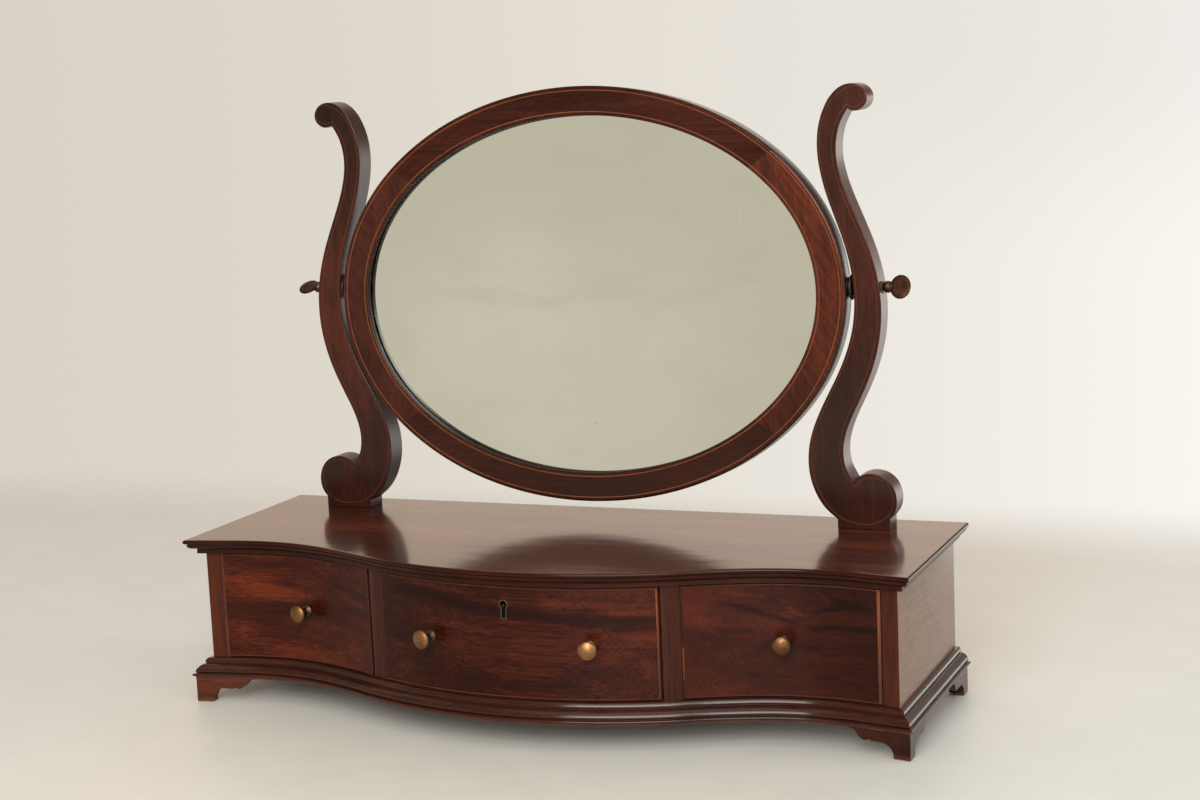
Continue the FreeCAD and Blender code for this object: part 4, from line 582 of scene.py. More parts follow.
# painted reflection: darker brass for the knobs' necks, standing in for the dark wood they reflect
M_NECK_PAINTED_SHADE = metal("brass_knob_neck_painted_shade", (0.120, 0.072, 0.042), (0.050, 0.031, 0.022), rough=0.30, spot=90.0, tarnish=0.8, bump=0.000004)
M_BRASS_NUT = metal("brass_nut", (0.46, 0.30, 0.12), (0.20, 0.12, 0.055), rough=0.36, spot=240.0, tarnish=0.8)
M_BALL = metal("brass_ball", (0.085, 0.050, 0.028), (0.030, 0.020, 0.014), rough=0.34, spot=260.0, tarnish=0.9)
M_BLADE = metal("brass_blade", (0.034, 0.0145, 0.0088), (0.020, 0.0090, 0.0060), rough=0.34, spot=150.0, tarnish=0.85, bump=0.000008, fleck=(0.20, 0.11, 0.06))
M_KEYHOLE = metal("brass_keyhole", (0.125, 0.092, 0.070), (0.060, 0.042, 0.034), rough=0.45, spot=420.0, tarnish=0.85)
M_STEEL = metal("screw_steel", (0.20, 0.19, 0.18), (0.10, 0.07, 0.05), rough=0.42, spot=300.0, tarnish=0.8)
M_IRON = metal("lock_iron", (0.15, 0.145, 0.14), (0.085, 0.055, 0.04), rough=0.5, spot=180.0, tarnish=0.9)


def ebony():
    n = Nodes("ebonised")
    t = n.noise(n.coord, (150.0, 150.0, 150.0), 3.0, 0.6)
    col = n.ramp(t, [(0.35, (0.0045, 0.0035, 0.0032)), (0.6, (0.010, 0.0065, 0.0050)), (0.75, (0.028, 0.015, 0.010))])
    n.set(Base_Color=col, Roughness=n.math("MULTIPLY_ADD", t, 0.2, 0.3), Specular_IOR_Level=0.3, Coat_Weight=0.8, Coat_Roughness=0.2, Coat_IOR=1.35,
          Normal=n.bump(t, 0.00003, 0.6))
    return n.mat


def leather():
    n = Nodes("washer_leather")
    t = n.cells(n.coord, (900.0, 900.0, 900.0))
    u = n.noise(n.coord, (120.0, 120.0, 120.0), 3.0, 0.6)
    col = n.ramp(n.math("MULTIPLY_ADD", t, 0.4, n.math("MULTIPLY", u, 0.6)), [(0.3, (0.018, 0.011, 0.008)), (0.7, (0.075, 0.042, 0.026))])
    n.set(Base_Color=col, Roughness=0.75, Normal=n.bump(t, 0.0001, 0.7))
    return n.mat


def silver():
    """old mirror plate: faintly green silvering with cloudy patches, specks and fine wipe marks"""
    n = Nodes("mirror_silver")
    v = n.turned(n.coord, (-LEAN_T, 0.0, 0.0))
    cloud = n.noise(v, (5.0, 5.0, 5.0), 3.0, 0.55)
    fine = n.noise(v, (45.0, 45.0, 45.0), 4.0, 0.6)
    col = n.ramp(cloud, [(0.3, (0.850, 0.843, 0.805)), (0.7, (0.940, 0.930, 0.905))])
    haze = n.span(n.noise(v, (11.0, 11.0, 26.0), 4.0, 0.6), 0.45, 0.75, 0.0, 0.5)
    col = n.mix(haze, col, (0.78, 0.775, 0.725))
    spots = n.span(n.noise(v, (230.0, 230.0, 230.0), 2.0, 0.5), 0.755, 0.79, 0.0, 0.6)
    col = n.mix(spots, col, (0.32, 0.29, 0.22))
    # silvering gone along the edge of the plate, mostly at the top
    x, y, z = n.split(n.vmath("SUBTRACT", v, Vector((0.0, 0.0, 0.0))))
    ex = n.math("DIVIDE", x, 0.2273)
    ez = n.math("DIVIDE", n.math("SUBTRACT", z, PLATE_Z), 0.1672)
    r = n.math("SQRT", n.math("ADD", n.math("MULTIPLY", ex, ex), n.math("MULTIPLY", ez, ez)))
    ragged = n.math("MULTIPLY_ADD", n.math("SUBTRACT", n.noise(v, (60.0, 60.0, 60.0), 5.0, 0.65), 0.5), 0.026, r)
    edge = n.span(ragged, 0.9915, 1.0005, 0.0, 1.0)
    top = n.span(n.math("SUBTRACT", ez, ex), -0.3, 1.1, 0.0, 1.0)
    # painted reflection: the plate grows darker away from a bright patch low on its left, standing in for the uneven
    # brightness of what it reflects
    ox, oz = n.math("ADD", ex, 0.15), n.math("ADD", ez, 0.35)
    shade = n.span(n.math("SQRT", n.math("ADD", n.math("MULTIPLY", ox, ox), n.math("MULTIPLY", oz, oz))), 0.22, 1.15, 0.0, 0.64)
    col = n.mix(shade, col, (0.73, 0.715, 0.645))
    edge = n.math("MULTIPLY", edge, top)
    col = n.mix(edge, col, (0.014, 0.013, 0.010))
    # pale vertical wipe marks towards the right, a faint smear across the middle
    wipe = n.noise(v, (120.0, 60.0, 7.0), 3.0, 0.6)
    wipe = n.math("MULTIPLY", n.span(wipe, 0.60, 0.74, 0.0, 0.30), n.math("MULTIPLY", n.span(ex, 0.35, 0.75), n.span(ez, -0.6, 0.0)))
    col = n.mix(wipe, col, (0.97, 0.95, 0.91))
    smear = n.math("ABSOLUTE", n.math("SUBTRACT", n.math("MULTIPLY_ADD", n.math("SUBTRACT", n.noise(v, (9.0, 9.0, 9.0), 2.0), 0.5), 0.35, ez), 0.02))
    smear = n.math("MULTIPLY", n.span(smear, 0.0, 0.09, 0.16, 0.0), n.span(n.math("ABSOLUTE", ex), 0.55, 0.85, 1.0, 0.0))
    col = n.mix(smear, col, (0.66, 0.65, 0.60))
    wipes = n.noise(n.turned(v, (0.0, 0.5, 0.0)), (6.0, 160.0, 160.0), 3.0, 0.6)
    rough = n.math("MULTIPLY_ADD", n.span(wipes, 0.5, 0.8), 0.05, n.math("MULTIPLY_ADD", haze, 0.10, 0.03))
    rough = n.math("MULTIPLY_ADD", edge, 0.12, rough)
    n.set(Base_Color=col, Metallic=1.0, Roughness=rough, Normal=n.bump(n.math("ADD", fine, cloud), 0.000004, 0.5))
    return n.mat


OVAL = Vector((0.0, 82.77, 371.1))
R_FLAT = Matrix.Rotation(math.radians(90.0 - 3.31), 3, "X")
# height of the plate's centre in the silvering's own upright frame
PLATE_Z = (Matrix.Rotation(-LEAN_T, 3, "X") @ (OVAL * MM)).z
M_EBONY = ebony()
# painted shade: near black for the wall of the rebate round the glass, standing in for its shade
M_LIP_PAINTED_SHADE = wood("lip_painted_shade", "x", dark=(0.0045, 0.0038, 0.0032), mid=(0.0120, 0.0092, 0.0072), light=(0.034, 0.022, 0.016), figure=0.6, wave=0.4, cloud=0.4, seed=71.0,
             coat=0.6, coat_rough=0.26, coat_ior=1.20, spec=0.0, red=(1.0, 1.0, 1.0))
M_LEATHER = leather()
M_SILVER = silver()

# ==================================================================== top board
zc, zt = 143.0, 157.4
ovolo = [(6.9 + 5.2 * math.sin(math.pi / 2 * i / 8), zc + 9.6 - 4.6 * math.cos(math.pi / 2 * i / 8)) for i in range(9)]
nose = smooth([(13.35, zc + 10.5), (14.0, zc + 11.3), (14.28, zc + 12.35), (14.05, zc + 13.35), (13.2, zt - 0.2), (12.4, zt)], 3)
TOP_PROFILE = [(4.6, zc), (5.3, zc), (5.6, zc + 0.3), (5.6, zc + 4.1), (5.0, zc + 4.35), (5.0, zc + 4.75), (6.4, zc + 4.95)] + ovolo[1:-1] + [(12.1, zc + 9.6), (11.2, zc + 9.85), (11.2, zc + 10.25), (12.5, zc + 10.35)] + nose + [(11.4, zt)]


def carried(profile, x0, x1, step, ends="mitre"):
    """profile of (outward, z) points along the serpentine front, mitred at both corners"""
    xs = stations(x0, x1, step)
    rows = []
    for x in xs[1:-1]:
        a = front_angle(x, D0)
        y = front_y(x, D0)
        rows.append([(x + o * math.sin(a), y - o * math.cos(a), z) for o, z in profile])
    left = [(-(MITRE + o), Y_CORNER - K_MITRE * o, z) for o, z in profile]
    right = [((MITRE + o), Y_CORNER - K_MITRE * o, z) for o, z in profile]
    return [left] + rows + [right]


rows = carried(TOP_PROFILE, -MITRE, MITRE, 3.0)
back_l = [(-(MITRE + o), 135.2, z) for o, z in TOP_PROFILE]
back_r = [((MITRE + o), 135.2, z) for o, z in TOP_PROFILE]
rows = [back_l] + rows + [back_r]
P = len(TOP_PROFILE)
verts = [p for r in rows for p in r]
faces = []
for i in range(len(rows) - 1):
    for j in range(P - 1):
        faces.append((i * P + j, (i + 1) * P + j, (i + 1) * P + j + 1, i * P + j + 1))
n_rows = len(rows)
faces.append(tuple(i * P + P - 1 for i in range(n_rows)))                 # top
faces.append(tuple(i * P for i in range(n_rows - 1, -1, -1)))             # underside
faces.append(tuple([j for j in range(P)] + [(n_rows - 1) * P + j for j in range(P - 1, -1, -1)]))   # back


def by_top(p):
    return 0 if p.normal.z > 0.9 or p.normal.z < -0.9 or abs(p.normal.y) < 2 and p.area > 0.002 else 1


make("top_board_polished", verts, faces, "case", [M_TOP, M_EDGE], "mahogany", ["top_board"], pick=by_top, sharp=32.0,
     cutters=[box_cutter(-6.6, 6.6, -108.1, -104.3, 142.0, 148.2)])

# ================================================================ base mouldings
zm, zf = 40.7, 22.5
low = [(0.0, zf), (11.6, zf), (12.1, zf + 0.35), (12.15, zf + 1.9), (12.3, zf + 2.15), (12.6, zf + 2.3)]
bead = smooth([(13.1, zf + 2.5), (13.95, zf + 2.85), (14.25, zf + 3.6), (14.0, zf + 4.4), (13.2, zf + 4.85), (12.3, zf + 4.95)], 3)
ogee = [(11.0, zf + 4.8), (11.0, zf + 5.25)] + smooth([(11.45, zf + 5.5), (11.95, zf + 6.4), (11.85, zf + 7.7), (11.1, zf + 9.2), (9.9, zf + 10.6), (8.4, zf + 11.8), (6.9, zf + 12.6),
               (5.6, zf + 13.0)], 4) + [(4.7, zf + 13.0), (4.6, zf + 13.5)] + smooth([(5.2, zf + 13.8), (5.55, zf + 14.6), (5.3, zf + 15.7), (4.7, zf + 16.8), (4.1, zf + 17.6),
               (3.5, zm - 0.15), (2.9, zm)], 3)
BASE_PROFILE = low + bead + ogee + [(0.0, zm)]


def closed_sweep(rows):
    verts, faces = loops_mesh(rows)
    return verts, faces


rows = carried(BASE_PROFILE, -MITRE, MITRE, 3.0)
make("base_moulding_front_polished", *closed_sweep(rows), "case", M_BASE, "mahogany", ["base_moulding_front"], sharp=30.0)
for side, s in (("left", -1), ("right", 1)):
    rows = [[(s * (MITRE + o), Y_CORNER - K_MITRE * o, z) for o, z in BASE_PROFILE], [(s * (MITRE + o), 133.8, z) for o, z in BASE_PROFILE]]
    make("base_moulding_%s_polished" % side, *closed_sweep(rows), "case", M_BASE_SIDE_PAINTED_SHEEN, "mahogany", ["base_moulding_" + side], sharp=30.0)


# ============================================================ panels and dividers
def upright_board(name, x0, x1, back, z0, z1, node, mats, r_out=0.45, pick=None):
    """a board on edge whose front edge follows the serpentine line"""
    front = [(x, front_y(x, D0)) for x in stations(x0 + r_out, x1 - r_out, 1.6)]
    left = [(x0, front_y(x0, D0) + r_out), (x0 + r_out * 0.3, front_y(x0 + r_out * 0.3, D0) + r_out * 0.28)]
    right = [(x1 - r_out * 0.3, front_y(x1 - r_out * 0.3, D0) + r_out * 0.28), (x1, front_y(x1, D0) + r_out)]
    outline = left + front + right + [(x1, back), (x0, back)]
    v, f = prism(outline, lambda a, b, w: (a, b, w), z0, z1)
    return make(name, v, f, "case", mats, "mahogany", [node], pick=pick, sharp=34.0)


def front_strip(p):
    return 1 if p.normal.y < -0.5 else 0


for side, s in (("left", -1), ("right", 1)):
    a, b = sorted((s * MITRE, s * (MITRE - 15.2)))
    upright_board("side_panel_%s_polished" % side, a, b, 133.8, 22.5, 143.0, "side_panel_" + side, [M_SIDE_PAINTED_SHEEN, M_STRIP], pick=front_strip)
    a, b = sorted((s * 134.0, s * 151.0))
    # a thin gap is open between each divider and the drawer on its left
    # painted shade: the divider's body is the dark deal, so that the gap reads as shade
    upright_board("divider_%s_polished" % side, a + 1.6, b, 125.8, 40.7, 143.0, "divider_" + side, [M_CARCASE_Z_STAIN_AND_SHADE, M_STRIP], r_out=0.3, pick=front_strip)

# ======================================================================== feet
XF = MITRE + 12.0
YF = Y_CORNER - 12.0 * K_MITRE
YB = 129.8
FOOT = [(0.0, 0.0), (15.7, 0.0)] + smooth([(15.7, 0.0), (15.8, 4.2), (18.6, 9.3), (24.7, 12.8)], 5)[1:] + [(30.7, 12.8), (36.7, 12.8), (37.8, 14.2)]
FOOT += smooth([(37.8, 14.2), (40.2, 12.9), (43.7, 13.0), (47.9, 16.5), (52.2, 21.4), (59.2, zf)], 5)[1:] + [(40.0, zf), (20.0, zf), (0.0, zf)]


def flat_bracket(outer, inner):
    """outline points on the outer face, and the matching ones on the inner face"""
    a, b = [outer(u, z) for u, z in FOOT], [inner(u, z) for u, z in FOOT]
    return loops_mesh([a, b])


def front_line(x, d):
    return front_y(x, d)


for side, s in (("left", -1), ("right", 1)):
    pieces = []
    d_o, d_i = D0 - 12.0, D0 - 3.0
    # bracket under the front, mitred back at the corner
    outer = lambda u, z, s=s: (s * (XF - u), front_line(XF - u, d_o), z)
    inner = lambda u, z, s=s: (s * min(XF - u, MITRE + 3.0), front_line(min(XF - u, MITRE + 3.0), d_i), z)
    pieces.append(flat_bracket(outer, inner))
    # bracket under the side
    y_in = Y_CORNER - 3.0 * K_MITRE
    outer = lambda u, z, s=s: (s * XF, YF + u, z)
    inner = lambda u, z, s=s: (s * (XF - 9.0), max(YF + u, y_in), z)
    pieces.append(flat_bracket(outer, inner))
    v0, f0 = pieces[0]
    v1, f1 = pieces[1]
    n0 = len(f0)
    v, f = merge(pieces)
    make("foot_front_%s_polished" % side, v, f, "case", [M_FOOT, M_FOOT_SIDE], "mahogany", ["foot_front_%s_brackets" % side],
         pick=lambda p, n0=n0: 0 if p.index < n0 else 1, sharp=40.0, bevel=0.45, segments=2, limit=55.0)
    pieces = []
    outer = lambda u, z, s=s: (s * XF, YB - u, z)
    inner = lambda u, z, s=s: (s * (XF - 9.0), min(YB - u, YB - 9.0), z)
    pieces.append(flat_bracket(outer, inner))
    outer = lambda u, z, s=s: (s * (XF - u), YB, z)
    inner = lambda u, z, s=s: (s * min(XF - u, XF - 9.0), YB - 9.0, z)
    pieces.append(flat_bracket(outer, inner))
    n0 = len(pieces[0][1])
    v, f = merge(pieces)
    make("foot_rear_%s_polished" % side, v, f, "case", [M_FOOT_SIDE, M_FOOT], "mahogany", ["foot_rear_%s_brackets" % side],
         pick=lambda p, n0=n0: 0 if p.index < n0 else 1, sharp=40.0, bevel=0.45, segments=2, limit=55.0)


# ===================================================================== drawers
def slab_loops(specs, x0, x1, step=3.0, z0=42.0, z1=141.0):
    """loops round a serpentine slab; each spec is (depth from the nose line, inset)"""
    n = max(2, int(round((x1 - x0) / step)))
    loops = []
    for d, ins in specs:
        xs = [x0 + ins + (x1 - x0 - 2 * ins) * i / n for i in range(n + 1)]
        loops.append([(x, front_y(x, d), z0 + ins) for x in xs] + [(x, front_y(x, d), z1 - ins) for x in reversed(xs)])
    return loops, n


def slab(specs, x0, x1, step=3.0):
    loops, n = slab_loops(specs, x0, x1, step)
    verts = [p for lp in loops for p in lp]
    m = 2 * (n + 1)
    faces = []
    for i in range(len(loops) - 1):
        for j in range(m):
            k = (j + 1) % m
            faces.append((i * m + j, i * m + k, (i + 1) * m + k, (i + 1) * m + j))
    for base, flip in ((0, False), ((len(loops) - 1) * m, True)):
        for i in range(n):
            q = (base + i, base + i + 1, base + m - 2 - i, base + m - 1 - i)
            faces.append(tuple(reversed(q)) if flip else q)
    return verts, faces


def keyhole_outline(shrink):
    r, w, zb = 4.5 - shrink, 2.9 - shrink, 112.2 + shrink
    a0 = math.asin(w / r)
    pts = [(r * math.sin(t), 125.3 - r * math.cos(t)) for t in [a0 + (2 * math.pi - 2 * a0) * i / 40 for i in range(41)]]
    pts += [(-w, zb), (w, zb)]
    return pts


KNOB = [(0.0, -20.6), (2.0, -20.6), (2.0, 0.05), (5.6, 0.05)] + smooth([(5.9, 0.3), (5.85, 0.95), (5.2, 1.7), (3.8, 2.4), (3.0, 3.6), (2.65, 5.2), (2.6, 6.8), (3.0, 8.6), (4.3, 10.0),
       (6.2, 11.2), (7.9, 12.3), (8.55, 13.3), (8.7, 14.1), (8.45, 15.0), (7.7, 15.9), (6.1, 16.8), (4.0, 17.45), (2.0, 17.85), (0.0, 18.0)], 3)
DRAWERS = (("left", "left_drawer", -321.0, -151.0, [-233.5], M_DR_LEFT), ("center", "center_drawer", -134.0, 134.0, [-76.5, 76.5], M_DR_MID),
           ("right", "right_drawer", 151.0, 321.0, [233.5], M_DR_RIGHT))
for name, body, x0, x1, knobs, mat in DRAWERS:
    node = "drawer_" + name
    xa, xb = x0 + 0.6, x1 - 0.6
    specs = [(D_FACE + 0.12, 1.5), (D_FACE, 1.62), (D_FACE, 1.4), (D_FACE + 0.15, 1.2), (D_FACE + 1.5, 1.2), (D_FACE + 1.5, 0.0), (D_BACK, 0.0)][1:]
    cuts = []
    for sa, sb, o in ((x0 + 0.9, x0 + 7.9, -1), (x1 - 7.9, x1 - 0.9, 1)):
        ym = front_y((sa + sb) / 2, D_BACK)
        yf = front_y((sa + sb) / 2, D_BACK - 8.0)
        for zz in (58.5, 87.0, 118.0):
            def half(y):
                return 12.5 - (12.5 - 8.6) * (y - (ym - 12.0)) / 15.5
            ua, ub = (sa - 4.0, sb) if o < 0 else (sa, sb + 4.0)
            cuts.append(cutter(*prism([(yf, zz - half(yf)), (ym + 4.0, zz - half(ym + 4.0)), (ym + 4.0, zz + half(ym + 4.0)), (yf, zz + half(yf))],
                                      lambda u, v, w: (w, u, v), ua, ub)))
    if name == "center":
        y0 = front_y(0, D_FACE)
        cuts.append(cutter(*prism(keyhole_outline(0.0), lambda u, v, w: (u, w, v), y0 - 3.0, y0 + 9.0)))
        cuts.append(box_cutter(-17.0, 17.0, front_y(0, D_BACK) - 4.0, front_y(0, D_BACK) + 6.0, 108.0, 143.0))
    # the front is veneered: polished face and plain back, with its end faces in the dark deal, partly a stain and
    # partly painted shade in the gaps beside the dividers
    v, f = slab(specs, xa, xb)

    def pick_front(p):
        if abs(p.normal.x) > 0.8:
            return 2
        return 0 if p.normal.y < -0.6 else 1
    make(node + "_front_polished", v, f, body, [mat, M_LINING_X, M_CARCASE_Z_STAIN_AND_SHADE], "mahogany", [node + "_front"], pick=pick_front, sharp=30.0, cutters=cuts)
    # edge string round the face
    right_w = 3.0 if name == "right" else 1.2
    n = int(round((xb - xa) / 3.0))
    ring = []
    for d, ins, r_ins in ((D_FACE + 0.05, 1.2, right_w), (D_FACE - 0.05, 1.0, right_w - 0.25), (D_FACE - 0.05, 0.35, 0.4), (D_FACE + 0.1, 0.1, 0.12), (D_FACE + 0.35, 0.0, 0.0),
                          (D_FACE + 1.45, 0.0, 0.0), (D_FACE + 1.45, 1.15, right_w - 0.02)):
        xl, xr = xa + ins, xb - r_ins
        xs = [xl + (xr - xl) * i / n for i in range(n + 1)]
        ring.append([(x, front_y(x, d), 42.0 + ins) for x in xs] + [(x, front_y(x, d), 141.0 - ins) for x in reversed(xs)])
    v, f = loops_mesh(ring, ring=True)

    def pick_string(p, xa=xa, xb=xb, w=right_w, name=name):
        # duller beside the left divider, lighter at the right end of the centre drawer
        if name == "left" and p.center.x > (xb - 1.5) * MM or name == "center" and p.center.x < (xa + 1.5) * MM:
            return 3
        if name == "center" and p.center.x > (xb - 1.5) * MM:
            return 1
        # the right drawer has a wider strip let in at one end, and has lost part of its line at the other
        if w > 2 and p.center.x > (xb - w - 0.6) * MM:
            return 1
        return 2 if w > 2 and p.center.x < (xa + 1.6) * MM else 0
    make(node + "_edge_string", v, f, body, [M_COCK, M_COCK_R, M_COCK_GAP, M_COCK_DULL], "string_wood", [node + "_stringing"], pick=pick_string, sharp=35.0)
    turned, axes = [], []
    for kx in knobs:
        a = front_angle(kx, D_FACE)
        at = Vector((kx, front_y(kx, D_FACE), 90.2))
        out = Vector((math.sin(a), -math.cos(a), 0.0))
        across = Vector((math.cos(a), math.sin(a), 0.0))
        axes.append((at, out))
        turned.append(turn(KNOB, lambda p, q, t, at=at, out=out, across=across: tuple(at + across * p + Vector((0, 0, 1)) * q + out * t), 72))
    v, f = merge(turned)
    cad = node + ("_knobs" if len(knobs) > 1 else "_knob")

    def pick_neck(p, axes=axes):
        # painted reflection: the neck and the base plate are darker and browner than the head, standing in for the dark
        # wood they reflect
        at, out = min(axes, key=lambda q: abs(q[0].x - p.center.x / MM))
        return 1 if (p.center / MM - at).dot(out) < 9.3 else 0
    make(cad + "_turned", v, f, body, [{"left": M_BRASS_L_PAINTED_SHADE, "right": M_BRASS_R_PAINTED_SHADE}.get(name, M_BRASS), M_NECK_PAINTED_SHADE], "brass", [cad], pick=pick_neck, sharp=40.0)

# keyhole rim, let into the middle drawer
y0 = front_y(0, D_FACE)
ring = []
for sh, y in ((0.2, y0 - 0.62), (0.88, y0 - 0.62), (1.06, y0 - 0.45), (1.1, y0 + 3.9), (0.0, y0 + 3.9), (0.0, y0 - 0.4), (0.07, y0 - 0.56)):
    ring.append([(u, y, v) for u, v in keyhole_outline(sh)])
make("keyhole_rim", *loops_mesh(ring, ring=True), "center_drawer", M_KEYHOLE, "brass", ["keyhole_escutcheon"], sharp=40.0)

# ==================================================================== uprights
INNER = [(240.6, 166.1), (230.7, 174.4), (223.1, 184.7), (217.9, 196.5), (215.0, 209.0), (214.4, 221.9), (215.8, 234.7), (219.1, 247.1),
         (223.8, 259.1), (229.3, 270.8), (235.2, 282.2), (241.2, 293.6), (246.8, 305.2), (251.8, 317.1), (255.9, 329.3), (258.9, 341.8),
         (260.6, 354.6), (261.2, 367.5), (260.5, 380.3), (258.8, 393.1), (256.2, 405.7), (252.8, 418.2), (248.8, 430.4), (244.4, 442.5),
         (240.1, 454.6), (236.2, 467.0), (233.2, 479.5), (231.1, 492.2), (230.4, 505.0), (231.4, 517.9), (234.4, 530.4), (239.6, 542.1),
         (243.6, 547.9), (248.4, 552.9), (254.3, 556.7), (261.2, 558.4), (268.1, 557.5), (273.5, 554.3), (276.7, 549.2), (277.2, 543.7),
         (275.0, 538.9), (271.1, 535.7), (266.6, 534.3), (262.5, 534.9), (259.2, 536.6)]
OUTER = [(259.2, 536.6), (251.9, 523.2), (248.3, 508.4), (248.2, 493.1), (251.2, 478.1), (255.9, 463.6), (261.6, 449.4), (267.5, 435.3),
         (273.2, 421.1), (278.2, 406.6), (282.1, 391.8), (284.7, 376.8), (285.8, 361.5), (285.4, 346.2), (283.5, 331.0), (280.1, 316.1),
         (275.4, 301.6), (269.5, 287.5), (262.9, 273.7), (256.1, 259.9), (250.5, 245.7), (247.6, 230.7), (249.1, 215.6), (255.7, 201.9)]
SCROLL = [(255.7, 201.9), (262.5, 206.6), (270.4, 209.0), (278.8, 208.5), (286.4, 205.1), (292.2, 199.1), (295.4, 191.4), (296.2, 183.1),
          (294.3, 174.9), (289.6, 168.1)]
STRING_A = [(257.2, 196.5), (265.6, 203.8), (276.7, 205.4), (286.9, 201.0), (292.3, 191.2), (292.4, 179.9), (287.2, 170.0), (277.6, 164.2),
            (266.4, 162.2), (255.1, 163.4), (244.6, 167.5), (235.6, 174.3), (228.5, 183.2), (223.3, 193.3), (219.7, 204.0), (217.6, 215.2),
            (217.0, 226.5), (218.3, 237.7), (221.8, 248.5), (226.5, 258.9), (231.5, 269.0), (236.5, 279.3), (241.4, 289.5), (246.5, 299.6),
            (251.4, 309.9), (255.7, 320.4), (259.1, 331.2), (261.4, 342.3), (262.8, 353.6), (263.4, 364.9), (263.2, 376.2), (262.2, 387.6),
            (260.4, 398.8), (257.8, 409.8), (254.5, 420.7), (250.9, 431.4), (247.1, 442.1), (243.3, 452.8), (239.8, 463.6), (236.7, 474.5),
            (234.4, 485.6), (233.0, 496.9), (232.9, 508.3), (234.3, 519.5), (237.3, 530.4), (242.4, 540.6), (249.8, 549.1), (259.6, 554.8),
            (266.4, 556.2), (272.0, 554.6), (275.2, 550.6), (275.6, 546.0), (273.4, 541.6), (269.1, 538.6), (263.8, 538.0), (258.3, 540.3)]
STRING_B = [(258.3, 540.3), (249.5, 527.5), (245.0, 512.3), (244.4, 496.5), (246.8, 480.9), (251.2, 465.7), (256.9, 450.9), (263.0, 436.3),
            (269.0, 421.6), (274.3, 406.7), (278.4, 391.4), (281.1, 375.8), (282.1, 360.0), (281.5, 344.1), (279.2, 328.5), (275.4, 313.1),
            (270.2, 298.1), (263.6, 283.7), (256.5, 269.6), (250.0, 255.1), (245.5, 240.0), (244.4, 224.2), (248.3, 209.0), (257.2, 196.5)]


def offset_closed(pts, d):
    """closed loop moved d to the right of its direction, with mitred corners"""
    out, n = [], len(pts)
    for i in range(n):
        a, b, c = Vector(pts[i - 1]), Vector(pts[i]), Vector(pts[(i + 1) % n])
        t1, t2 = (b - a).normalized(), (c - b).normalized()
        n1, n2 = Vector((t1.y, -t1.x)), Vector((t2.y, -t2.x))
        m = n1 + n2
        k = m.dot(m)
        out.append(b + (m * (2 * d / k) if k > 0.5 else n1 * d))
    return [(p.x, p.y) for p in out]


for side, s in (("left", -1), ("right", 1)):
    outline = smooth(INNER, 3) + smooth(OUTER, 5)[1:] + smooth(SCROLL, 5)[1:]
    outline = outline + [(289.6, 163.0), (289.6, zt), (275.0, zt), (255.0, zt), (240.6, zt), (240.6, 162.0)]
    v, f = prism(outline, lambda a, b, w, s=s: (s * a, w, b), 88.0, 111.9)
    bore = cutter(*turn([(2.55, 240.0), (2.55, 320.0), (0.0, 320.0), (0.0, 240.0)][::-1] if False else [(0.0, 240.0), (2.55, 240.0), (2.55, 320.0), (0.0, 320.0)],
                        lambda p, q, t, s=s: (s * t, 97.8 + p, 377.5 + q), 40))
    seat = cutter(*turn([(0.0, 284.0), (5.5, 284.0), (5.5, 300.0), (0.0, 300.0)], lambda p, q, t, s=s: (s * t, 97.8 + p, 377.5 + q), 48))
    make("upright_%s_polished" % side, v, f, "case", [M_UP_L if s < 0 else M_UP_R, M_UP_SIDE_PAINTED_SHADE], "mahogany", ["upright_" + side], sharp=30.0, bevel=0.7, segments=3,
         limit=48.0, cutters=[bore, seat], pick=lambda p: 0 if p.normal.y < -0.6 else 1)
    line = smooth(STRING_A, 3)[:-1] + smooth(STRING_B, 4)[:-1]
    o, i = offset_closed(line, -0.36), offset_closed(line, 0.36)
    ring = [[(s * a, y, b) for a, b in run] for run, y in ((i, 87.97), (o, 87.97), (o, 89.2), (i, 89.2))]
    make("upright_%s_string" % side, *loops_mesh(ring, ring=True), "case", M_LINE, "string_wood", ["upright_%s_stringing" % side], sharp=40.0)


# ================================================================= swing glass
def leaned(x, y, z):
    p = R_FLAT @ Vector((x, y, z)) + OVAL
    return (p.x, p.y, p.z)


A, B = 254.5, 194.5
JOINTS = (-34.0, 35.0, 148.5, 213.0, 326.0)
# cross-section of the frame: (in from the rim, behind the front face)
SECTION = [(0.0, 20.8), (0.0, 10.0), (0.0, 2.0), (0.08, 1.35), (0.4, 0.75), (0.9, 0.35), (1.5, 0.1), (2.1, 0.0), (3.2, 0.0), (10.0, 0.0), (20.0, 0.0), (26.3, 0.0), (26.8, 0.1), (27.1, 0.4),
           (27.2, 0.9), (27.2, 6.5), (20.0, 6.5), (20.0, 15.5), (13.5, 15.5), (13.5, 22.0), (1.2, 22.0), (0.35, 21.65)]


def ellipse_point(k, deg, depth):
    a, b = A - k, B - k * 27.3 / 27.2
    r = math.radians(deg)
    t = math.atan2(a * math.sin(r), b * math.cos(r))
    t += 2 * math.pi * round((r - t) / (2 * math.pi))
    return a, b, t


def frame_segment(deg0, deg1, gap):
    n = int((deg1 - deg0) / 1.2)
    loops = []
    for i in range(n + 1):
        lp = []
        for k, depth in SECTION:
            a, b, t0 = ellipse_point(k, deg0, depth)
            a, b, t1 = ellipse_point(k, deg1, depth)
            g = gap / 220.0
            t = t0 + g + (t1 - t0 - 2 * g) * i / n
            lp.append(leaned(a * math.cos(t), b * math.sin(t), -depth))
        loops.append(lp)
    return loops_mesh(loops)


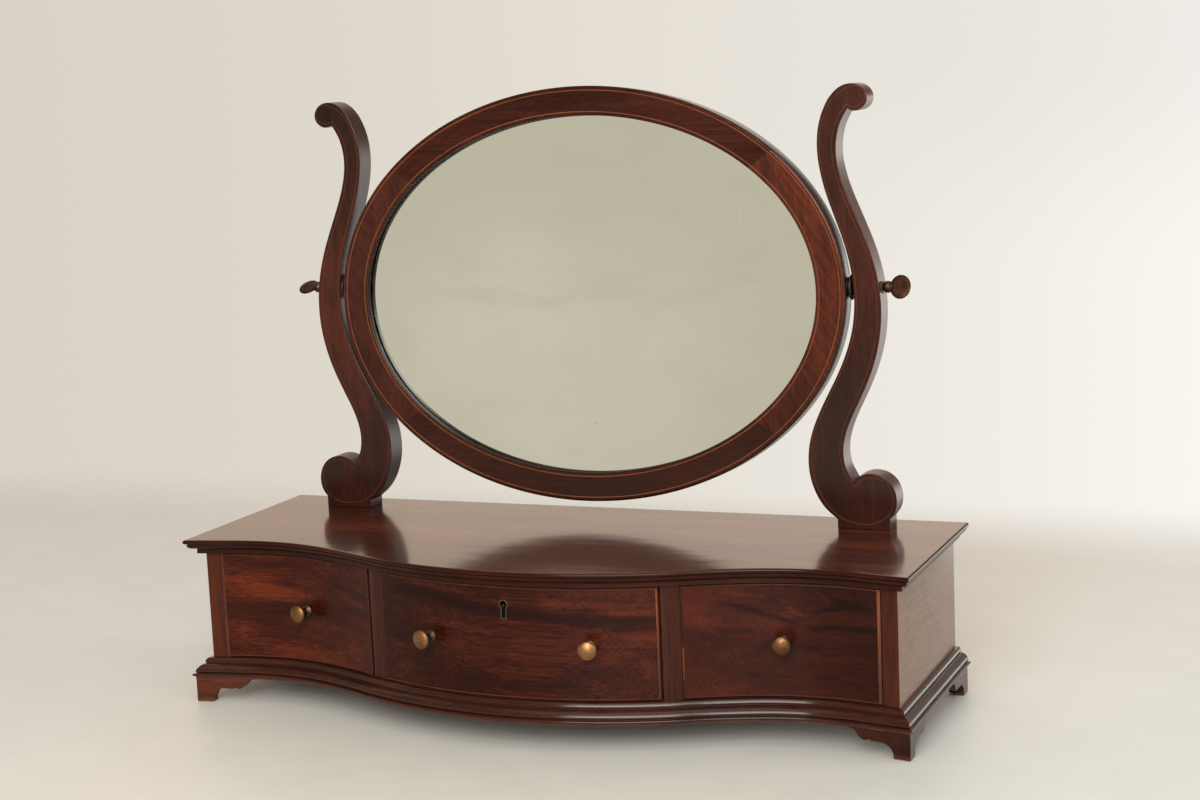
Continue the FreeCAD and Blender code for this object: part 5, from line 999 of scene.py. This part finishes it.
def pick_lip(p):
    # painted shade: the narrow wall round the opening is painted near black, standing in for the shade in the rebate,
    # so that it stays dark in the glass
    q = R_FLAT.inverted() @ (p.center / MM - OVAL)
    e = math.hypot(q.x / (A - 26.9), q.y / (B - 27.0))
    # painted shade: the outer rim takes the near-black rim material
    if math.hypot(q.x / A, q.y / B) > 0.99 and q.z < -1.6:
        return 2
    return 1 if e < 1.003 and -7.0 < q.z < -0.35 else 0


for i, (name, mat) in enumerate((("right", M_FR_RIGHT), ("top", M_FR_TOP), ("left", M_FR_LEFT), ("bottom", M_FR_LOW))):
    v, f = frame_segment(JOINTS[i], JOINTS[i + 1], 0.07)
    cuts = []
    if name in ("left", "right"):
        s = -1 if name == "left" else 1
        cuts.append(cutter(*turn([(0.0, 253.4), (9.2, 253.4), (9.2, 262.0), (0.0, 262.0)], lambda p, q, t, s=s: (s * t, 97.8 + p, 377.5 + q), 64)))
        cuts.append(cutter(*turn([(0.0, 243.4), (4.0, 243.4), (4.0, 258.0), (0.0, 258.0)], lambda p, q, t, s=s: (s * t, 97.8 + p, 377.5 + q), 40)))
    make("frame_segment_%s_polished" % name, v, f, "swing_glass", [mat, M_LIP_PAINTED_SHADE, M_RIM_PAINTED_SHADE], "mahogany", ["frame_segment_" + name], sharp=34.0, cutters=cuts, pick=pick_lip)


def oval_ring(a, b, w, d0, d1, n=360):
    loops = []
    for off, d in ((w, d0), (-w, d0), (-w, d1), (w, d1)):
        loops.append([leaned((a + off) * math.cos(2 * math.pi * i / n), (b + off) * math.sin(2 * math.pi * i / n), -d) for i in range(n)])
    return loops_mesh(loops, ring=True)


make("frame_string_lines", *merge([oval_ring(230.6, 170.7, 0.5, -0.03, 1.0), oval_ring(250.0, 190.5, 0.5, -0.03, 1.0)]), "swing_glass", M_STRING, "string_wood",
     ["frame_stringing"], sharp=40.0)


def oval_plate(a, b, profile, n=300):
    """profile of (in from the edge, depth) points, capped flat front and back"""
    loops = [[leaned((a - k) * math.cos(2 * math.pi * i / n), (b - k) * math.sin(2 * math.pi * i / n), -d) for i in range(n)] for k, d in profile]
    return loops_mesh(loops)


make("mirror_silvered_plate", *oval_plate(233.7, 173.6, [(1.2, 8.1), (0.5, 8.1), (0.0, 8.4), (0.0, 9.2), (0.3, 9.5), (1.2, 9.5)]), "swing_glass", M_SILVER, "mirror_glass",
     ["mirror_plate"], sharp=50.0)
make("backboard_oval", *oval_plate(240.5, 180.5, [(2.0, 15.5), (0.4, 15.5), (0.0, 15.9), (0.0, 19.4), (1.1, 20.5), (3.0, 20.5)]), "swing_glass", M_BACKING, "deal",
     ["backboard"], sharp=38.0)

# ebonised collars between frame and uprights, leather washers, thumb-screws
collar = [(2.55, 0.0), (8.6, 0.0)] + smooth([(8.85, 0.25), (8.85, 0.8), (8.3, 1.35), (7.7, 1.8), (8.4, 2.05), (9.7, 2.4), (11.1, 3.0), (11.85, 3.7), (11.85, 4.3), (11.2, 4.95), (9.8, 5.5),
                                              (7.4, 5.95), (5.2, 6.2)], 3) + [(4.4, 6.35), (4.4, 6.65), (2.55, 6.65)]
v, f = merge([turn(collar, lambda p, q, t, s=s: (s * (253.4 + t), 97.8 + p, 377.5 + q), 72) for s in (-1, 1)])
make("pivot_collars_turned", v, f, "swing_glass", M_EBONY, "ebonised_wood", ["pivot_collars"], sharp=40.0)
washer = [(2.8, 0.0), (4.9, 0.0), (5.25, 0.25), (5.3, 0.8), (5.25, 1.35), (4.9, 1.6), (2.8, 1.6)]
v, f = merge([turn(washer, lambda p, q, t, s=s: (s * (284.0 + t), 97.8 + p, 377.5 + q), 48) for s in (-1, 1)])
make("thumbscrew_washers_leather", v, f, "case", M_LEATHER, "washer_leather", ["thumbscrew_washers"], sharp=45.0)

X_FACE = 284.0 + 1.6 + 0.3
XC = X_FACE + 4.2
for side, s, lean in (("left", -1, -62.0), ("right", 1, -20.0)):
    rot = Matrix.Rotation(math.radians(lean), 3, "X")
    at = Vector((0.0, 97.8, 377.5))

    def put(x, y, z, s=s, rot=rot):
        p = rot @ Vector((s * x, y, z)) + at
        return (p.x, p.y, p.z)
    r = 5.4
    c0 = XC - math.sqrt(r * r - 3.6 ** 2)
    th0 = math.acos(-(XC - c0) / r)
    ball = [(r * math.sin(th), XC + r * math.cos(th)) for th in [th0 * (1 - i / 18.0) for i in range(19)]]
    prof = [(0.0, 244.4), (1.7, 244.4), (2.5, 245.2), (2.5, X_FACE - 0.02), (3.3, X_FACE), (3.6, X_FACE + 0.3)] + ball[:-1] + [(0.0, XC + r)]
    pin = turn(prof, lambda p, q, t, put=put: put(t, p, q), 56)
    # blade: an oval with rounded edges
    ax, bz = 9.3, 10.95
    x_mid = XC + r * 0.55 + 9.3 - 1.0
    prof_b = [(0.0, 1.2), (0.35, 1.19), (0.6, 1.16), (0.82, 1.1), (0.93, 0.98), (0.98, 0.7), (1.0, 0.35), (1.0, -0.35), (0.98, -0.7), (0.93, -0.98), (0.82, -1.1), (0.6, -1.16), (0.35, -1.19), (0.0, -1.2)]
    blade = turn(prof_b, lambda p, q, t, put=put, x_mid=x_mid: put(x_mid + 9.3 * p, t, 10.95 * q), 64)
    nb = len(pin[1])
    v, f = merge([pin, blade])
    make("thumbscrew_%s_turned" % side, v, f, side + "_thumbscrew", [M_BALL, M_BLADE], "brass", ["thumbscrew_" + side], pick=lambda p, nb=nb: 0 if p.index < nb else 1, sharp=45.0)

# ========================================================= CAD nodes that stay
KEEP = {
    "bottom_board": M_CARCASE_PAINTED_SHADE, "back_board": M_DEAL, "foot_glue_blocks": M_BLOCK_PAINTED_SHADE, "drawer_stops": M_DEAL_Z, "upright_screws": M_STEEL,
    "drawer_left_sides": M_LINING, "drawer_center_sides": M_LINING, "drawer_right_sides": M_LINING,
    "drawer_left_back": M_LINING_X, "drawer_center_back": M_LINING_X, "drawer_right_back": M_LINING_X,
    "drawer_left_bottom": M_LINING_X, "drawer_center_bottom": M_LINING_X, "drawer_right_bottom": M_LINING_X,
    "drawer_left_knob_nut": M_BRASS_NUT, "drawer_center_knob_nuts": M_BRASS_NUT, "drawer_right_knob_nut": M_BRASS_NUT,
    "lock_case": M_IRON, "lock_bolt": M_IRON, "lock_screws": M_STEEL,
    "glazing_blocks": M_DEAL_Z, "backboard_screws": M_STEEL, "pivot_nuts": M_BRASS_NUT,
}
for name, mat in KEEP.items():
    ob = NODES[name]
    if ob.material_slots:
        for sl in ob.material_slots:
            sl.material = mat
    else:
        ob.data.materials.append(mat)

# ======================================================================= stage
me = bpy.data.meshes.new("floor")
S = 3.2
me.from_pydata([(-S, -S, -0.0003), (S, -S, -0.0003), (S, S, -0.0003), (-S, S, -0.0003)], [], [(0, 1, 2, 3)])
floor = bpy.data.objects.new("floor", me)
bpy.context.scene.collection.objects.link(floor)
fn = Nodes("floor_paint")
fx, fy, fz = fn.split(fn.coord)
grain = fn.noise(fn.coord, (14.0, 14.0, 14.0), 5.0, 0.62)
paint = fn.mix(grain, (0.486, 0.501, 0.498), (0.569, 0.584, 0.580))
# painted bounce light: the floor near the front of the object is tinted warm, standing in for light thrown off the red
# wood
near = fn.math("MULTIPLY", fn.span(fn.math("ABSOLUTE", fx), 0.25, 0.50, 1.0, 0.0), fn.span(fy, -0.80, -0.42, 0.0, 1.0))
paint = fn.vmath("MULTIPLY", paint, fn.mix(near, (1, 1, 1), (1.0, 0.965, 0.915)))
# painted shade: the floor grows darker far out in front, towards the camera
paint = fn.vmath("MULTIPLY", paint, fn.mix(fn.span(fy, -0.85, -0.30, 1.0, 0.0), (1, 1, 1), (0.905, 0.908, 0.908)))
fn.set(Base_Color=paint, Roughness=fn.math("MULTIPLY_ADD", grain, 0.10, 0.40), Specular_IOR_Level=0.3)
# the floor dissolves into the backdrop behind the object and well out in front of it
dx = fn.math("ABSOLUTE", fx)
back = fn.span(fy, 0.62, 1.0, 1.0, 0.0)
frontf = fn.span(fy, -1.75, -1.45, 0.0, 1.0)
sides = fn.span(dx, 2.2, 3.1, 1.0, 0.0)
shown = fn.math("MULTIPLY", fn.math("MULTIPLY", back, frontf), sides)
clear = fn.t.nodes.new("ShaderNodeBsdfTransparent")
blend = fn.t.nodes.new("ShaderNodeMixShader")
fn.t.links.new(shown, blend.inputs[0])
fn.t.links.new(clear.outputs[0], blend.inputs[1])
fn.t.links.new(fn.bsdf.outputs[0], blend.inputs[2])
fn.t.links.new(blend.outputs[0], fn.out.inputs[0])
me.materials.append(fn.mat)

# soft studio surround: a pale wall behind, a dimmer room in front, and broad soft lights
world = bpy.data.worlds.new("studio")
bpy.context.scene.world = world
world.use_nodes = True
wt = world.node_tree
wt.nodes.clear()


class WorldNodes(Nodes):
    def __init__(self, tree):
        self.t = tree


wn = WorldNodes(wt)
w_out = wt.nodes.new("ShaderNodeOutputWorld")
w_bg = wt.nodes.new("ShaderNodeBackground")
wt.links.new(w_bg.outputs[0], w_out.inputs[0])
w_dir = wt.nodes.new("ShaderNodeTexCoord").outputs["Generated"]
sx, sy, sz = wn.split(w_dir)
across = wn.math("POWER", wn.span(sx, -0.64, -0.12, 0.0, 1.0, soft=False), 1.7)
wall = wn.mix(across, (0.70, 0.645, 0.562), (0.955, 0.928, 0.880))
warm = wn.span(sx, -0.20, 0.0, 1.0, 0.0)
lit_wall = wn.vmath("MULTIPLY", wall, wn.mix(warm, (1.20, 1.18, 1.15), (1.46, 1.26, 1.12)))
room = wn.mix(wn.span(sz, 0.10, 0.34), (0.625, 0.600, 0.488), (0.34, 0.31, 0.25))
behind = wn.span(sy, -0.25, 0.35, 0.0, 1.0)
light = wn.mix(behind, room, lit_wall)


def glow(direction, c0, c1, colour, base):
    d = Vector(direction).normalized()
    f = wn.span(wn.vmath("DOT_PRODUCT", w_dir, tuple(d)), c0, c1, 0.0, 1.0)
    return wn.vmath("ADD", base, wn.vmath("MULTIPLY", wn.mix(f, (0, 0, 0), (1, 1, 1)), colour))


# behind and to the right the upper part is dim, over a low bright band of window light
dim = wn.math("MULTIPLY", wn.math("MULTIPLY", wn.span(sx, -0.10, 0.04), wn.span(sz, 0.03, 0.16)), wn.span(sy, 0.0, 0.3))
light = wn.mix(wn.math("MULTIPLY", dim, 0.80), light, (0.05, 0.05, 0.05))
lane = wn.math("MULTIPLY", wn.math("MULTIPLY", wn.span(sx, 0.06, 0.20), wn.span(sx, 0.50, 0.66, 1.0, 0.0)), wn.math("MULTIPLY", wn.span(sz, -0.02, 0.07, 1.0, 0.0), wn.span(sy, 0.2, 0.5)))
lane = wn.math("MULTIPLY", lane, wn.span(sx, 0.15, 0.48, 0.62, 1.0))
lane = wn.math("MULTIPLY", lane, wn.span(sz, -0.20, -0.03, 0.45, 0.85))
light = wn.vmath("ADD", light, wn.vmath("MULTIPLY", wn.mix(lane, (0, 0, 0), (1, 1, 1)), (4.0, 3.85, 3.65)))
light = glow((0.15, -0.35, 0.90), 0.80, 0.985, (1.1, 1.06, 1.0), light)
light = glow((0.70, -0.65, 0.02), 0.55, 0.95, (0.80, 0.78, 0.74), light)
below = wn.math("MULTIPLY", wn.span(sz, -0.30, -0.02, 1.0, 0.0), wn.span(sy, 0.1, 0.4, 1.0, 0.0))
light = wn.mix(below, light, (0.60, 0.57, 0.50))
lp = wt.nodes.new("ShaderNodeLightPath")
high = wn.math("MULTIPLY", wn.span(sx, -0.38, -0.16), wn.span(sz, -0.11, 0.0))
seen = wn.mix(lp.outputs["Is Camera Ray"], light, wn.vmath("MULTIPLY", wall, wn.mix(high, (1, 1, 1), (0.915, 0.915, 0.920))))
wt.links.new(seen, w_bg.inputs["Color"])
w_bg.inputs["Strength"].default_value = 1.0


def softbox(name, at, aim, size, watts, colour=(1.0, 0.97, 0.92)):
    ld = bpy.data.lights.new(name, "AREA")
    ld.shape, ld.size, ld.size_y = "RECTANGLE", size[0], size[1]
    ld.energy, ld.color = watts, colour
    ob = bpy.data.objects.new(name, ld)
    ob.location = at
    ob.rotation_mode = "QUATERNION"
    ob.rotation_quaternion = (Vector(aim) - Vector(at)).to_track_quat("-Z", "Y")
    bpy.context.scene.collection.objects.link(ob)
    return ob


softbox("key_light", (0.50, -2.10, 1.75), (0.05, -0.05, 0.06), (1.60, 0.95), 27.0)
softbox("front_fill", (0.55, -2.8, 1.22), (0.0, 0.0, 0.06), (1.8, 0.9), 60.0)
softbox("side_window", (2.0, 0.55, 0.85), (0.35, 0.0, 0.08), (1.0, 0.8), 13.0)
bpy.context.scene.view_settings.view_transform = "Standard"

# ====================================================================== camera
yaw, pitch, roll = 0.39814053, 0.15531831, -0.04381879
fwd = Vector((-math.sin(yaw) * math.cos(pitch), math.cos(yaw) * math.cos(pitch), -math.sin(pitch)))
right = Vector((math.cos(yaw), math.sin(yaw), 0.0))
up = right.cross(fwd)
c, s = math.cos(roll), math.sin(roll)
R, U = right * c + up * s, up * c - right * s
cam = bpy.data.cameras.new("camera")
cam.sensor_width = 36.0
cam.lens = 65.3739
cam.clip_start = 0.05
co = bpy.data.objects.new("camera", cam)
co.matrix_world = Matrix(((R.x, U.x, -fwd.x, 0.7985477), (R.y, U.y, -fwd.y, -1.7836945), (R.z, U.z, -fwd.z, 0.5893602), (0, 0, 0, 1)))
bpy.context.scene.collection.objects.link(co)
bpy.context.scene.camera = co
